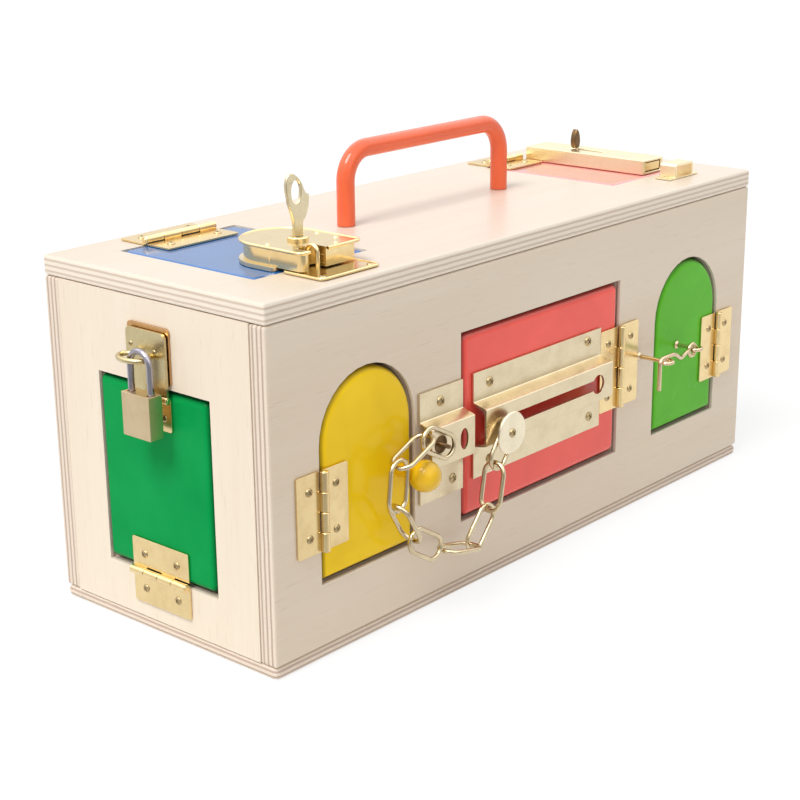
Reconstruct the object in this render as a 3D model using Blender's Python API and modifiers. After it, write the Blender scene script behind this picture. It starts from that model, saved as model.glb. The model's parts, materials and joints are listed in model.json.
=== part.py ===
"""Wooden latch box: a plywood box with six small doors, each kept by another kind of latch.

Metres, +Z up. X runs along the box, the long front faces -Y and the end with the padlock faces -X.
The origin is at the centre of the footprint, on the surface that the box stands on.
"""
import math

import bmesh
import bpy
from mathutils import Matrix, Vector

# Box
BOX_LENGTH = 0.406
BOX_WIDTH = 0.152
BOX_HEIGHT = 0.180
WALL_THICKNESS = 0.010
LID_THICKNESS = 0.010
BASE_THICKNESS = 0.0065
PANEL_ROUND = 0.0012
BASE_ROUND = 0.0026
JOINT_GAP = 0.0003

# Doors
DOOR_GAP = 0.0014
DOOR_THICKNESS = 0.0092
DOOR_ROUND = 0.0022
DOOR_CORNER = 0.0025
FRONT_DOOR_FOOT = 0.0395
FRONT_DOOR_TOP = 0.1368
ARCH_WIDTH = 0.064
YELLOW_CENTRE = -0.138
GREEN_CENTRE = 0.1385
RED_WIDTH = 0.1355
END_DOOR_WIDTH = 0.075
END_DOOR_FOOT = 0.0325
END_DOOR_TOP = 0.1272
BLUE_CENTRE = -0.1365
BLUE_WIDTH = 0.074
TOP_DOOR_FRONT = -0.040
TOP_DOOR_BACK = 0.0505
PINK_CENTRE = 0.144
PINK_WIDTH = 0.064

# Hinges
LEAF_THICKNESS = 0.0009
SEAT_GAP = 0.0003
KNUCKLE_RADIUS = 0.00215
KNUCKLE_LIFT = 0.0025
PIN_RADIUS = 0.0009
BORE_RADIUS = 0.0012
BARREL_GAP = 0.0004
BARREL_COUNT = 4
LEAF_CORNER = 0.0010
SMALL_HINGE_LENGTH = 0.040
SMALL_HINGE_REACH = 0.0170
LARGE_HINGE_LENGTH = 0.047
LARGE_HINGE_REACH = 0.0183
SHORT_HINGE_LENGTH = 0.032
YELLOW_HINGE_HEIGHT = 0.0755
GREEN_HINGE_HEIGHT = 0.079
RED_HINGE_HEIGHT = 0.089
PINK_HINGE_CENTRE = 0.129

# Handle
HANDLE_DIAMETER = 0.0096
HANDLE_SPAN = 0.127
HANDLE_RISE = 0.0385
HANDLE_BEND = 0.016
HANDLE_SETBACK = 0.005

# Knob
KNOB_RADIUS = 0.0079
KNOB_STEM_RADIUS = 0.0038
KNOB_STANDOFF = 0.0155
KNOB_INSET = 0.009
KNOB_HEIGHT = 0.080

# Hasp and padlock on the end door
HASP_WIDTH = 0.027
HASP_PLATE = 0.0014
HASP_AXIS_HEIGHT = 0.124
HASP_LEAF_DROP = 0.016
HASP_TOP = 0.156
HASP_CORNER = 0.006
HASP_KNUCKLE_RADIUS = 0.0019
HASP_KNUCKLE_LIFT = 0.0022
HASP_ARM_LIFT = 0.0018
STAPLE_PLATE_THICKNESS = 0.0010
STAPLE_PLATE_FOOT = 0.1305
STAPLE_PLATE_TOP = 0.158
STAPLE_PLATE_WIDTH = 0.0285
RING_HEIGHT = 0.1438
RING_SIDE = -0.0038
RING_STANDOFF = 0.0087
RING_HALF_LENGTH = 0.0085
RING_HALF_DEPTH = 0.0057
RING_WIRE = 0.0013
SHACKLE_WIRE = 0.0016
SHACKLE_SPACING = 0.0134
SHACKLE_CLEARANCE = 0.0006
CROWN_CLEARANCE = 0.0016
SHACKLE_INSERT = 0.0070
PADLOCK_WIDTH = 0.0190
PADLOCK_HEIGHT = 0.0210
PADLOCK_THICKNESS = 0.0080
PADLOCK_TOP = 0.1285
PADLOCK_BEVEL = 0.0012
PADLOCK_BORE_RADIUS = 0.0020
PADLOCK_BORE_DEPTH = 0.0090

# Door chain
PLATE_THICKNESS = 0.0012
PLATE_CORNER = 0.002
TRACK_HEIGHT = 0.056
TRACK_CLEARANCE = 0.0006
TRACK_MIDDLE = 0.0875
CHANNEL_INSET = 0.0006
CHANNEL_HEIGHT = 0.024
CHANNEL_RISE = 0.0066
CHANNEL_WALL = 0.0012
CHANNEL_DROP = 0.0030
SLOT_START = -0.0360
SLOT_END = 0.0408
SLOT_HALF = 0.0022
KEYHOLE_RADIUS = 0.0062
DISC_RADIUS = 0.0100
DISC_THICKNESS = 0.0016
DISC_NECK_RADIUS = 0.0018
DISC_FOOT_RADIUS = 0.0045
DISC_FOOT_THICKNESS = 0.0015
DISC_CLEARANCE = 0.0004
DISC_LOOP_BACK = 0.0072
DISC_LOOP_UP = 0.0032
ANCHOR_WIDTH = 0.033
ANCHOR_HEIGHT = 0.0575
ANCHOR_CENTRE = -0.0858
ANCHOR_GAP = 0.00835
ANCHOR_MIDDLE = 0.0860
BOSS_HEIGHT = 0.022
BOSS_WIDTH = 0.030
BOSS_RISE = 0.0058
BOSS_WALL = 0.0012
BOSS_ROUND = 0.0012
BOSS_HOLE_RADIUS = 0.0055
STAPLE_BACK = 0.0100
STAPLE_UP = 0.0034
STAPLE_REACH = 0.0063
LINK_WIRE = 0.0012
LINK_LENGTH = 0.0277
LINK_WIDTH = 0.0145
LINK_CLEARANCE = 0.0004
OPEN_CLEARANCE = 0.0007
CHAIN_STANDOFF = 0.0126
LOOP_WIRE = 0.0010
LOOP_HALF_SPAN = 0.0032
LOOP_CLEARANCE = 0.0006

# Hook and eyes
EYE_WIRE = 0.0011
EYE_RADIUS = 0.0036
EYE_STANDOFF = 0.0130
EYE_SHANK_RADIUS = 0.0013
EYE_COLLAR_RADIUS = 0.0024
EYE_COLLAR_THICKNESS = 0.0009
WALL_EYE_X = 0.0895
WALL_EYE_HEIGHT = 0.0900
DOOR_EYE_X = 0.1286
DOOR_EYE_HEIGHT = 0.0880
HOOK_WIRE = 0.0012
HOOK_RING_RADIUS = 0.0034
HOOK_CLEARANCE = 0.0005
HOOK_BEND = 0.0035
PRONG_DROP = 0.0180

# Key lock on the blue door
LOCK_CENTRE = -0.139
LOCK_WIDTH = 0.042
LOCK_FRONT = -0.0570
LOCK_BACK = -0.0035
LOCK_FOOT_THICKNESS = 0.0020
LOCK_CASE_RISE = 0.0102
LOCK_CAP_THICKNESS = 0.0016
LOCK_CASE_INSET = 0.0022
NOTCH_WIDTH = 0.0120
NOTCH_DEPTH = 0.0105
NOTCH_OFFSET = -0.0085
LOCK_CORNER = 0.003
BOLT_WIDTH = 0.0034
BOLT_HEIGHT = 0.0046
BOLT_LENGTH = 0.0170
BOLT_CLEARANCE = 0.0004
BOLT_LEVEL = 0.0052
CYLINDER_RADIUS = 0.0052
CYLINDER_RISE = 0.0014
CYLINDER_DEPTH = 0.0080
CYLINDER_PLACE = -0.0345
KEY_THICKNESS = 0.0018
KEY_BLADE_WIDTH = 0.0060
KEY_BLADE_DEPTH = 0.0062
KEY_SHANK_HEIGHT = 0.0080
KEY_BOW_WIDTH = 0.0150
KEY_BOW_HEIGHT = 0.0220
KEY_HOLE_WIDTH = 0.0062
KEY_HOLE_HEIGHT = 0.0105
KEY_CLEARANCE = 0.0004
RIM_PLATE_FRONT = -0.0690
RIM_PLATE_BACK = -0.0425
RIM_PLATE_WIDTH = 0.040
RIM_PLATE_THICKNESS = 0.0014
RIM_STAPLE_WIRE = 0.0011
RIM_STAPLE_SPAN = 0.0068
RIM_STAPLE_RISE = 0.0128

# Slide bolt on the pink door
HOUSING_LEFT = 0.1465
HOUSING_WIDTH = 0.0215
HOUSING_FRONT = -0.0375
HOUSING_BACK = 0.0485
HOUSING_HEIGHT = 0.0088
HOUSING_WALL = 0.0012
SLIDE_WIDTH = 0.0150
SLIDE_THICKNESS = 0.0048
SLIDE_CLEARANCE = 0.0005
SLIDE_BACK = 0.0300
SLIDE_TRAVEL = 0.0180
THUMB_PLACE = 0.0190
THUMB_WIDTH = 0.0085
THUMB_HEIGHT = 0.0115
THUMB_THICKNESS = 0.0034
THUMB_NECK = 0.0026
THUMB_SLOT_CLEARANCE = 0.0006
KEEPER_DEPTH = 0.0105
KEEPER_SETBACK = 0.0085
KEEPER_WALL = 0.0014
KEEPER_FOOT = 0.0055

# Shared working values
OVERRUN = 0.002
TINY_MERGE = 0.00005
ROUND_SEGMENTS = 16
FINE_SEGMENTS = 24
BARREL_SEGMENTS = 12
BORE_SEGMENTS = 8
ARC_STEPS = 16
LOCK_STEPS = 10
LINK_STEPS = 6
BEND_STEPS = 6
CORNER_STEPS = 4
BEVEL_STEPS = 2

# Shares of the sizes that they follow
ROOM_MARGIN_SHARE = 1.5
KEY_HOLE_RISE_SHARE = 0.15
DISC_RIVET_SHARE = 0.32
THUMB_ROUND_SHARE = 0.45
EVEN_PROFILE_SHARE = 0.5


def clear_scene():
    """Remove every object, so that the script also runs in a file that is not empty."""
    for obj in list(bpy.data.objects):
        bpy.data.objects.remove(obj, do_unlink=True)


clear_scene()
PARTS = bpy.data.collections.new("wooden_latch_box")
CUTTERS = bpy.data.collections.new("cutters")
bpy.context.scene.collection.children.link(PARTS)
bpy.context.scene.collection.children.link(CUTTERS)


def material(name, colour, roughness, metallic=0.0):
    """A plain surface with one colour."""
    made = bpy.data.materials.new(name)
    made.use_nodes = True
    surface = made.node_tree.nodes["Principled BSDF"]
    surface.inputs["Base Color"].default_value = (*colour, 1.0)
    surface.inputs["Roughness"].default_value = roughness
    surface.inputs["Metallic"].default_value = metallic
    made.diffuse_color = (*colour, 1.0)
    return made


PLYWOOD = material("plywood", (0.78, 0.66, 0.50), 0.5)
GREEN_PAINT = material("green_paint", (0.01, 0.36, 0.09), 0.25)
YELLOW_PAINT = material("yellow_paint", (0.75, 0.47, 0.02), 0.25)
RED_PAINT = material("red_paint", (0.80, 0.08, 0.06), 0.25)
LEAF_GREEN_PAINT = material("leaf_green_paint", (0.09, 0.42, 0.04), 0.25)
BLUE_PAINT = material("blue_paint", (0.13, 0.24, 0.66), 0.2)
HANDLE_RED = material("handle_red", (0.83, 0.10, 0.03), 0.25)
BRASS = material("brass", (0.80, 0.60, 0.26), 0.22, 1.0)
NICKEL = material("champagne_nickel", (0.62, 0.55, 0.38), 0.28, 1.0)
CHROME = material("chrome", (0.75, 0.75, 0.75), 0.12, 1.0)
ANTIQUE = material("antique_bronze", (0.16, 0.09, 0.04), 0.4, 1.0)

# Faces of the box: a local frame with u to the right, v upwards and the third axis outwards.
FRONT = Matrix(((1, 0, 0, 0), (0, 0, -1, -BOX_WIDTH / 2), (0, 1, 0, 0), (0, 0, 0, 1)))
LEFT = Matrix(((0, 0, -1, -BOX_LENGTH / 2), (-1, 0, 0, 0), (0, 1, 0, 0), (0, 0, 0, 1)))
TOP = Matrix.Translation((0, 0, BOX_HEIGHT))


def place(u, v, out=0.0):
    """A shift in a face's own frame."""
    return Matrix.Translation((u, v, out))


def turn(angle, axis="Z"):
    """A rotation about one axis."""
    return Matrix.Rotation(angle, 4, axis)


def link_mesh(name, mesh, surface=None, collection=None):
    """Make an object of a mesh, in the parts unless it is a cutter."""
    obj = bpy.data.objects.new(name, mesh)
    (collection or PARTS).objects.link(obj)
    if surface is not None:
        mesh.materials.clear()
        mesh.materials.append(surface)
    return obj


def mesh_of(name, fill, frame=None):
    """A mesh that a bmesh function fills, moved by a frame."""
    work = bmesh.new()
    fill(work)
    if frame is not None:
        work.transform(frame)
    mesh = bpy.data.meshes.new(name)
    work.to_mesh(mesh)
    work.free()
    return mesh


def block(name, low, high, frame=None, round_by=0.0, steps=BEVEL_STEPS):
    """A box between two corners in a frame, with edges rounded by a bevel."""
    size = [high[i] - low[i] for i in range(3)]
    middle = [(high[i] + low[i]) / 2 for i in range(3)]

    def fill(work):
        bmesh.ops.create_cube(work, size=1.0)
        work.transform(Matrix.Translation(middle) @ Matrix.Diagonal((*size, 1.0)))
        if round_by > 0:
            bmesh.ops.bevel(work, geom=list(work.edges), offset=round_by, segments=steps,
                            profile=EVEN_PROFILE_SHARE, affect="EDGES", clamp_overlap=True)

    return mesh_of(name, fill, frame)


def drum(name, radius, low, high, frame=None, segments=ROUND_SEGMENTS, top_radius=None):
    """A cylinder or cone along the frame's third axis, between two heights."""
    top_radius = radius if top_radius is None else top_radius

    def fill(work):
        bmesh.ops.create_cone(work, cap_ends=True, segments=segments, radius1=radius,
                              radius2=top_radius, depth=high - low)
        work.transform(Matrix.Translation((0, 0, (high + low) / 2)))

    return mesh_of(name, fill, frame)


def curve_mesh(name, splines, frame=None, wire=0.0, resolution=2, half_thickness=0.0):
    """A mesh of a curve object: a wire with a bevel, or a flat outline with a thickness.

    Each spline is a pair: its points, and whether it is closed.
    """
    curve = bpy.data.curves.new(name, "CURVE")
    curve.dimensions = "3D" if wire > 0 else "2D"
    for points, closed in splines:
        spline = curve.splines.new("POLY")
        spline.points.add(len(points) - 1)
        for spot, point in zip(spline.points, points):
            spot.co = (*point, *([0.0] * (3 - len(point))), 1.0)
        spline.use_cyclic_u = closed
    if wire > 0:
        curve.bevel_depth = wire
        curve.bevel_resolution = resolution
        curve.use_fill_caps = True
    else:
        curve.fill_mode = "BOTH"
        curve.extrude = half_thickness
    shape = bpy.data.objects.new(name, curve)
    bpy.context.scene.collection.objects.link(shape)
    bpy.context.view_layer.update()
    depsgraph = bpy.context.evaluated_depsgraph_get()
    mesh = bpy.data.meshes.new_from_object(shape.evaluated_get(depsgraph), depsgraph=depsgraph)
    bpy.data.objects.remove(shape)
    bpy.data.curves.remove(curve)
    work = bmesh.new()
    work.from_mesh(mesh)
    bmesh.ops.remove_doubles(work, verts=work.verts, dist=TINY_MERGE / 2)
    bmesh.ops.recalc_face_normals(work, faces=work.faces)
    if frame is not None:
        work.transform(frame)
    work.to_mesh(mesh)
    work.free()
    return mesh


def plate(name, outlines, low, high, frame=None):
    """A flat sheet between two heights; the outlines after the first are its holes."""
    lift = Matrix.Translation((0, 0, (low + high) / 2))
    frame = lift if frame is None else frame @ lift
    return curve_mesh(name, [(outline, True) for outline in outlines], frame,
                      half_thickness=(high - low) / 2)


def arc(centre, radius_u, radius_v, start, end, steps):
    """Points along an arc of a circle or an oval."""
    return [(centre[0] + radius_u * math.cos(start + (end - start) * i / steps),
             centre[1] + radius_v * math.sin(start + (end - start) * i / steps))
            for i in range(steps + 1)]


def oval(centre, radius_u, radius_v, steps=FINE_SEGMENTS):
    """A closed oval."""
    return arc(centre, radius_u, radius_v, 0.0, math.tau, steps)[:-1]


def rounded(low, high, corners, steps=CORNER_STEPS):
    """A rectangle whose corners, anticlockwise from the lower left, have their own radii."""
    spots = ((low[0], low[1], 1, 1, math.pi), (high[0], low[1], -1, 1, -math.pi / 2),
             (high[0], high[1], -1, -1, 0.0), (low[0], high[1], 1, -1, math.pi / 2))
    outline = []
    for (u, v, side_u, side_v, start), radius in zip(spots, corners):
        if radius <= 0:
            outline.append((u, v))
            continue
        centre = (u + side_u * radius, v + side_v * radius)
        outline += arc(centre, radius, radius, start, start + math.pi / 2, steps)
    return outline


def arch(centre, width, foot, top, steps=ARC_STEPS):
    """An outline with a flat foot and a half-round top."""
    reach = width / 2
    spring = top - reach
    return [(centre - reach, foot), (centre + reach, foot)] + arc(
        (centre, spring), reach, reach, 0.0, math.pi, steps)


def bevel(obj, width, steps=BEVEL_STEPS, angle=math.radians(40)):
    """Round the sharp edges."""
    modifier = obj.modifiers.new("rounded edges", "BEVEL")
    modifier.width = width
    modifier.segments = steps
    modifier.limit_method = "ANGLE"
    modifier.angle_limit = angle
    return modifier


def boolean(obj, tool, operation):
    """Cut or join another object, which stays as a hidden guide."""
    modifier = obj.modifiers.new(operation.lower(), "BOOLEAN")
    modifier.operation = operation
    modifier.solver = "EXACT"
    modifier.object = tool
    return modifier


def guide(name, mesh):
    """A hidden object for a boolean."""
    obj = link_mesh(name, mesh, None, CUTTERS)
    obj.hide_render = True
    obj.display_type = "WIRE"
    return obj


def cut(obj, *meshes):
    """Cut each mesh out of an object."""
    for mesh in meshes:
        boolean(obj, guide("cut_" + mesh.name, mesh), "DIFFERENCE")
    return obj


def join(obj, *meshes):
    """Join each mesh to an object, as one solid."""
    for mesh in meshes:
        boolean(obj, guide("add_" + mesh.name, mesh), "UNION")
    return obj


def smooth(obj, angle=math.radians(35)):
    """Shade round sides smooth and keep the sharp edges."""
    obj.data.shade_smooth()
    obj.data.set_sharp_from_angle(angle=angle)
    return obj


def pivot(name, point, parent=None):
    """An empty on a joint's axis, which the pieces that move about it hang from."""
    empty = bpy.data.objects.new(name, None)
    PARTS.objects.link(empty)
    hang(empty, point, parent)
    return empty


def hang(obj, point, parent=None):
    """Put an object's origin at a point of the world and hang it from a parent."""
    if obj.data is not None:
        obj.data.transform(Matrix.Translation(-Vector(point)))
    obj.location = point
    if parent is not None:
        bpy.context.view_layer.update()
        obj.parent = parent
        obj.matrix_parent_inverse = parent.matrix_world.inverted()
    bpy.context.view_layer.update()
    return obj


def ride(parent, *pieces):
    """Hang pieces from a pivot, with their own origins on its axis."""
    for piece in pieces:
        hang(piece, parent.matrix_world.translation, parent)


# Panels
half_length = BOX_LENGTH / 2
half_width = BOX_WIDTH / 2
wall_foot = BASE_THICKNESS + JOINT_GAP
wall_top = BOX_HEIGHT - LID_THICKNESS - JOINT_GAP


def opening_arch(name, centre):
    """The cutter of an arched opening in the front."""
    outline = arch(centre, ARCH_WIDTH + DOOR_GAP * 2, FRONT_DOOR_FOOT - DOOR_GAP,
                   FRONT_DOOR_TOP + DOOR_GAP)
    return plate(name, [outline], -WALL_THICKNESS - OVERRUN, OVERRUN, FRONT)


def opening_box(name, low, high, frame, depth):
    """The cutter of a square opening in a face."""
    return block(name, (low[0] - DOOR_GAP, low[1] - DOOR_GAP, -depth - OVERRUN),
                 (high[0] + DOOR_GAP, high[1] + DOOR_GAP, OVERRUN), frame)


base = link_mesh("base_panel", block("base_panel", (-half_length, -half_width, 0.0),
                                     (half_length, half_width, BASE_THICKNESS),
                                     round_by=BASE_ROUND), PLYWOOD)

lid = link_mesh("lid_panel", block("lid_panel", (-half_length, -half_width, -LID_THICKNESS),
                                   (half_length, half_width, 0.0), TOP, PANEL_ROUND), PLYWOOD)
cut(lid,
    opening_box("blue_opening", (BLUE_CENTRE - BLUE_WIDTH / 2, TOP_DOOR_FRONT),
                (BLUE_CENTRE + BLUE_WIDTH / 2, TOP_DOOR_BACK), TOP, LID_THICKNESS),
    opening_box("pink_opening", (PINK_CENTRE - PINK_WIDTH / 2, TOP_DOOR_FRONT),
                (PINK_CENTRE + PINK_WIDTH / 2, TOP_DOOR_BACK), TOP, LID_THICKNESS))

front = link_mesh("front_panel", block("front_panel", (-half_length, wall_foot, -WALL_THICKNESS),
                                       (half_length, wall_top, 0.0), FRONT, PANEL_ROUND), PLYWOOD)
cut(front,
    opening_arch("yellow_opening", YELLOW_CENTRE),
    opening_arch("green_opening", GREEN_CENTRE),
    opening_box("red_opening", (-RED_WIDTH / 2, FRONT_DOOR_FOOT),
                (RED_WIDTH / 2, FRONT_DOOR_TOP), FRONT, WALL_THICKNESS))

back = link_mesh("back_panel", block("back_panel",
                                     (-half_length, half_width - WALL_THICKNESS, wall_foot),
                                     (half_length, half_width, wall_top),
                                     round_by=PANEL_ROUND), PLYWOOD)

end_reach = half_width - WALL_THICKNESS - JOINT_GAP
left_end = link_mesh("left_end_panel", block("left_end_panel",
                                             (-end_reach, wall_foot, -WALL_THICKNESS),
                                             (end_reach, wall_top, 0.0), LEFT), PLYWOOD)
cut(left_end, opening_box("end_opening", (-END_DOOR_WIDTH / 2, END_DOOR_FOOT),
                          (END_DOOR_WIDTH / 2, END_DOOR_TOP), LEFT, WALL_THICKNESS))
right_end = link_mesh("right_end_panel", block("right_end_panel",
                                               (half_length - WALL_THICKNESS, -end_reach, wall_foot),
                                               (half_length, end_reach, wall_top)), PLYWOOD)

# Doors


def door(name, outline, frame, surface):
    """A door that fills its opening, flush with the face around it."""
    mesh = plate(name, [outline], -DOOR_THICKNESS, 0.0, frame)
    obj = link_mesh(name, mesh, surface)
    bevel(obj, DOOR_ROUND, 3)
    return smooth(obj)


def square_door(name, low, high, frame, surface):
    """A door with four corners."""
    return door(name, rounded(low, high, (DOOR_CORNER,) * 4, 3), frame, surface)


yellow_left = YELLOW_CENTRE - ARCH_WIDTH / 2
yellow_right = YELLOW_CENTRE + ARCH_WIDTH / 2
green_right = GREEN_CENTRE + ARCH_WIDTH / 2
red_right = RED_WIDTH / 2
axis_gap = DOOR_GAP / 2

yellow_door = door("yellow_door", arch(YELLOW_CENTRE, ARCH_WIDTH, FRONT_DOOR_FOOT,
                                       FRONT_DOOR_TOP), FRONT, YELLOW_PAINT)
green_door = door("green_arch_door", arch(GREEN_CENTRE, ARCH_WIDTH, FRONT_DOOR_FOOT,
                                          FRONT_DOOR_TOP), FRONT, LEAF_GREEN_PAINT)
red_door = square_door("red_door", (-red_right, FRONT_DOOR_FOOT), (red_right, FRONT_DOOR_TOP),
                       FRONT, RED_PAINT)
end_door = square_door("end_door", (-END_DOOR_WIDTH / 2, END_DOOR_FOOT),
                       (END_DOOR_WIDTH / 2, END_DOOR_TOP), LEFT, GREEN_PAINT)
blue_door = square_door("blue_door", (BLUE_CENTRE - BLUE_WIDTH / 2, TOP_DOOR_FRONT),
                        (BLUE_CENTRE + BLUE_WIDTH / 2, TOP_DOOR_BACK), TOP, BLUE_PAINT)
pink_door = square_door("pink_door", (PINK_CENTRE - PINK_WIDTH / 2, TOP_DOOR_FRONT),
                        (PINK_CENTRE + PINK_WIDTH / 2, TOP_DOOR_BACK), TOP, RED_PAINT)

# Pivots of the doors
yellow_frame = FRONT @ place(yellow_left - axis_gap, YELLOW_HINGE_HEIGHT)
green_frame = FRONT @ place(green_right + axis_gap, GREEN_HINGE_HEIGHT) @ turn(math.pi)
red_frame = FRONT @ place(red_right + axis_gap, RED_HINGE_HEIGHT) @ turn(math.pi)
end_frame = LEFT @ place(0.0, END_DOOR_FOOT - axis_gap) @ turn(math.pi / 2)
blue_frame = TOP @ place(BLUE_CENTRE, TOP_DOOR_BACK + axis_gap) @ turn(-math.pi / 2)
pink_frame = TOP @ place(PINK_HINGE_CENTRE, TOP_DOOR_BACK + axis_gap) @ turn(-math.pi / 2)


def axis_point(frame, lift=KNUCKLE_LIFT):
    """The middle of a hinge's axis in the world."""
    return frame @ Vector((0.0, 0.0, lift))


yellow_pivot = pivot("yellow_door_axis", axis_point(yellow_frame))
green_pivot = pivot("green_arch_door_axis", axis_point(green_frame))
red_pivot = pivot("red_door_axis", axis_point(red_frame))
end_pivot = pivot("end_door_axis", axis_point(end_frame))
blue_pivot = pivot("blue_door_axis", axis_point(blue_frame))
pink_pivot = pivot("pink_door_axis", axis_point(pink_frame))

for parent, piece in ((yellow_pivot, yellow_door), (green_pivot, green_door),
                      (red_pivot, red_door), (end_pivot, end_door), (blue_pivot, blue_door),
                      (pink_pivot, pink_door)):
    ride(parent, piece)

# Hinges


def barrels(length, mine):
    """The stretches of the knuckle that belong to one leaf."""
    step = length / BARREL_COUNT
    foot = -length / 2
    return [(foot + step * i + (BARREL_GAP / 2 if i > 0 else 0.0),
             foot + step * (i + 1) - (BARREL_GAP / 2 if i < BARREL_COUNT - 1 else 0.0))
            for i in range(BARREL_COUNT) if i % 2 == mine]


def leaf(name, frame, length, reach, side, with_pin, surface, radius=KNUCKLE_RADIUS,
         lift=KNUCKLE_LIFT, low=SEAT_GAP, thickness=LEAF_THICKNESS, corners=None, extra=()):
    """One leaf of a hinge: its plate, its barrels and, on the fixed leaf, the pin.

    The frame's v axis is the hinge's axis, and side is +1 for the leaf at +u.
    """
    mine = 0 if with_pin else 1
    corners = corners or (LEAF_CORNER,) * 2
    reach_u = side * reach
    tuck = PIN_RADIUS / 2
    end_v = length / 2 - BARREL_GAP / 2
    if side > 0:
        outline = rounded((-tuck, -end_v), (reach_u, end_v),
                          (0.0, corners[0], corners[1], 0.0), 2)
    else:
        outline = rounded((reach_u, -end_v), (tuck, end_v),
                          (corners[0], 0.0, 0.0, corners[1]), 2)
    obj = link_mesh(name, plate(name, [outline, *extra], low, low + thickness, frame), surface)
    along = frame @ place(0.0, 0.0, lift) @ turn(-math.pi / 2, "X")
    room = radius + BARREL_GAP
    margin = BARREL_GAP * ROOM_MARGIN_SHARE
    for i, (start, end) in enumerate(barrels(length, 1 - mine)):
        cut(obj, block(f"{name}_room_{i}", (-room, start - margin, low - OVERRUN),
                       (room, end + margin, low + thickness + OVERRUN), frame))
    for i, (start, end) in enumerate(barrels(length, mine)):
        join(obj, drum(f"{name}_barrel_{i}", radius, start, end, along, BARREL_SEGMENTS))
    if with_pin:
        join(obj, drum(name + "_pin", PIN_RADIUS, -length / 2 + BARREL_GAP,
                       length / 2 + BARREL_GAP, along, BORE_SEGMENTS))
    else:
        cut(obj, drum(name + "_bore", BORE_RADIUS, -length / 2 - OVERRUN,
                      length / 2 + OVERRUN, along, BORE_SEGMENTS))
    return smooth(obj)


def hinge(prefix, frame, length, reach, parent, surface=BRASS):
    """A butt hinge: the fixed leaf on the wall and the moving leaf on the door."""
    leaf(prefix + "_hinge_wall_leaf", frame, length, reach, -1, True, surface)
    moving = leaf(prefix + "_hinge_door_leaf", frame, length, reach, 1, False, surface)
    ride(parent, moving)


hinge("yellow", yellow_frame, SMALL_HINGE_LENGTH, SMALL_HINGE_REACH, yellow_pivot)
hinge("green", green_frame, SMALL_HINGE_LENGTH, SMALL_HINGE_REACH, green_pivot)
hinge("red", red_frame, LARGE_HINGE_LENGTH, LARGE_HINGE_REACH, red_pivot)
hinge("end", end_frame, SMALL_HINGE_LENGTH, SMALL_HINGE_REACH, end_pivot)
hinge("blue", blue_frame, LARGE_HINGE_LENGTH, LARGE_HINGE_REACH, blue_pivot)
hinge("pink", pink_frame, SHORT_HINGE_LENGTH, SMALL_HINGE_REACH, pink_pivot)

# Handle
handle_reach = HANDLE_SPAN / 2
handle_points = [(-handle_reach, SEAT_GAP)]
handle_points += [(u, v) for u, v in reversed(arc(
    (-handle_reach + HANDLE_BEND, HANDLE_RISE - HANDLE_BEND), HANDLE_BEND, HANDLE_BEND,
    math.pi / 2, math.pi, BEND_STEPS))]
handle_points += [(u, v) for u, v in reversed(arc(
    (handle_reach - HANDLE_BEND, HANDLE_RISE - HANDLE_BEND), HANDLE_BEND, HANDLE_BEND,
    0.0, math.pi / 2, BEND_STEPS))]
handle_points += [(handle_reach, SEAT_GAP)]
handle_frame = TOP @ place(0.0, HANDLE_SETBACK) @ turn(math.pi / 2, "X")
handle = smooth(link_mesh("handle", curve_mesh("handle", [(handle_points, False)], handle_frame,
                                               HANDLE_DIAMETER / 2, 4), HANDLE_RED))

# Knob
knob_u = yellow_right - KNOB_INSET
knob_frame = FRONT @ place(knob_u, KNOB_HEIGHT)


def ball(name, radius, frame, segments=16, rings=10):
    """A ball."""
    return mesh_of(name, lambda work: bmesh.ops.create_uvsphere(
        work, u_segments=segments, v_segments=rings, radius=radius), frame)


knob = link_mesh("knob", ball("knob", KNOB_RADIUS, knob_frame @ place(0.0, 0.0, KNOB_STANDOFF)),
                 YELLOW_PAINT)
join(knob, drum("knob_stem", KNOB_STEM_RADIUS, SEAT_GAP, KNOB_STANDOFF, knob_frame))
smooth(knob)
ride(yellow_pivot, knob)

# Hasp and padlock
hasp_frame = LEFT @ place(0.0, HASP_AXIS_HEIGHT) @ turn(-math.pi / 2)
hasp_pivot = pivot("hasp_arm_axis", axis_point(hasp_frame, HASP_KNUCKLE_LIFT), end_pivot)
hasp_leaf = leaf("hasp_door_leaf", hasp_frame, HASP_WIDTH, HASP_LEAF_DROP, 1, True, BRASS,
                 HASP_KNUCKLE_RADIUS, HASP_KNUCKLE_LIFT)
ride(end_pivot, hasp_leaf)
hasp_arm = leaf("hasp_arm", hasp_frame, HASP_WIDTH, HASP_TOP - HASP_AXIS_HEIGHT, -1, False, BRASS,
                HASP_KNUCKLE_RADIUS, HASP_KNUCKLE_LIFT, HASP_ARM_LIFT, HASP_PLATE,
                (HASP_CORNER, HASP_CORNER))
ring_points = [(u, out, 0.0) for u, out in
               oval((RING_SIDE, RING_STANDOFF), RING_HALF_LENGTH, RING_HALF_DEPTH, 24)]
ring_frame = LEFT @ place(0.0, RING_HEIGHT) @ turn(math.pi / 2, "X")
join(hasp_arm, curve_mesh("hasp_ring", [(ring_points, True)], ring_frame, RING_WIRE))
smooth(hasp_arm)
ride(hasp_pivot, hasp_arm)

plate_low = (-STAPLE_PLATE_WIDTH / 2, STAPLE_PLATE_FOOT)
plate_high = (STAPLE_PLATE_WIDTH / 2, STAPLE_PLATE_TOP)
staple_plate = smooth(link_mesh("hasp_staple_plate", plate(
    "hasp_staple_plate", [rounded(plate_low, plate_high, (PLATE_CORNER,) * 4)],
    SEAT_GAP, SEAT_GAP + STAPLE_PLATE_THICKNESS, LEFT), BRASS))

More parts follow.
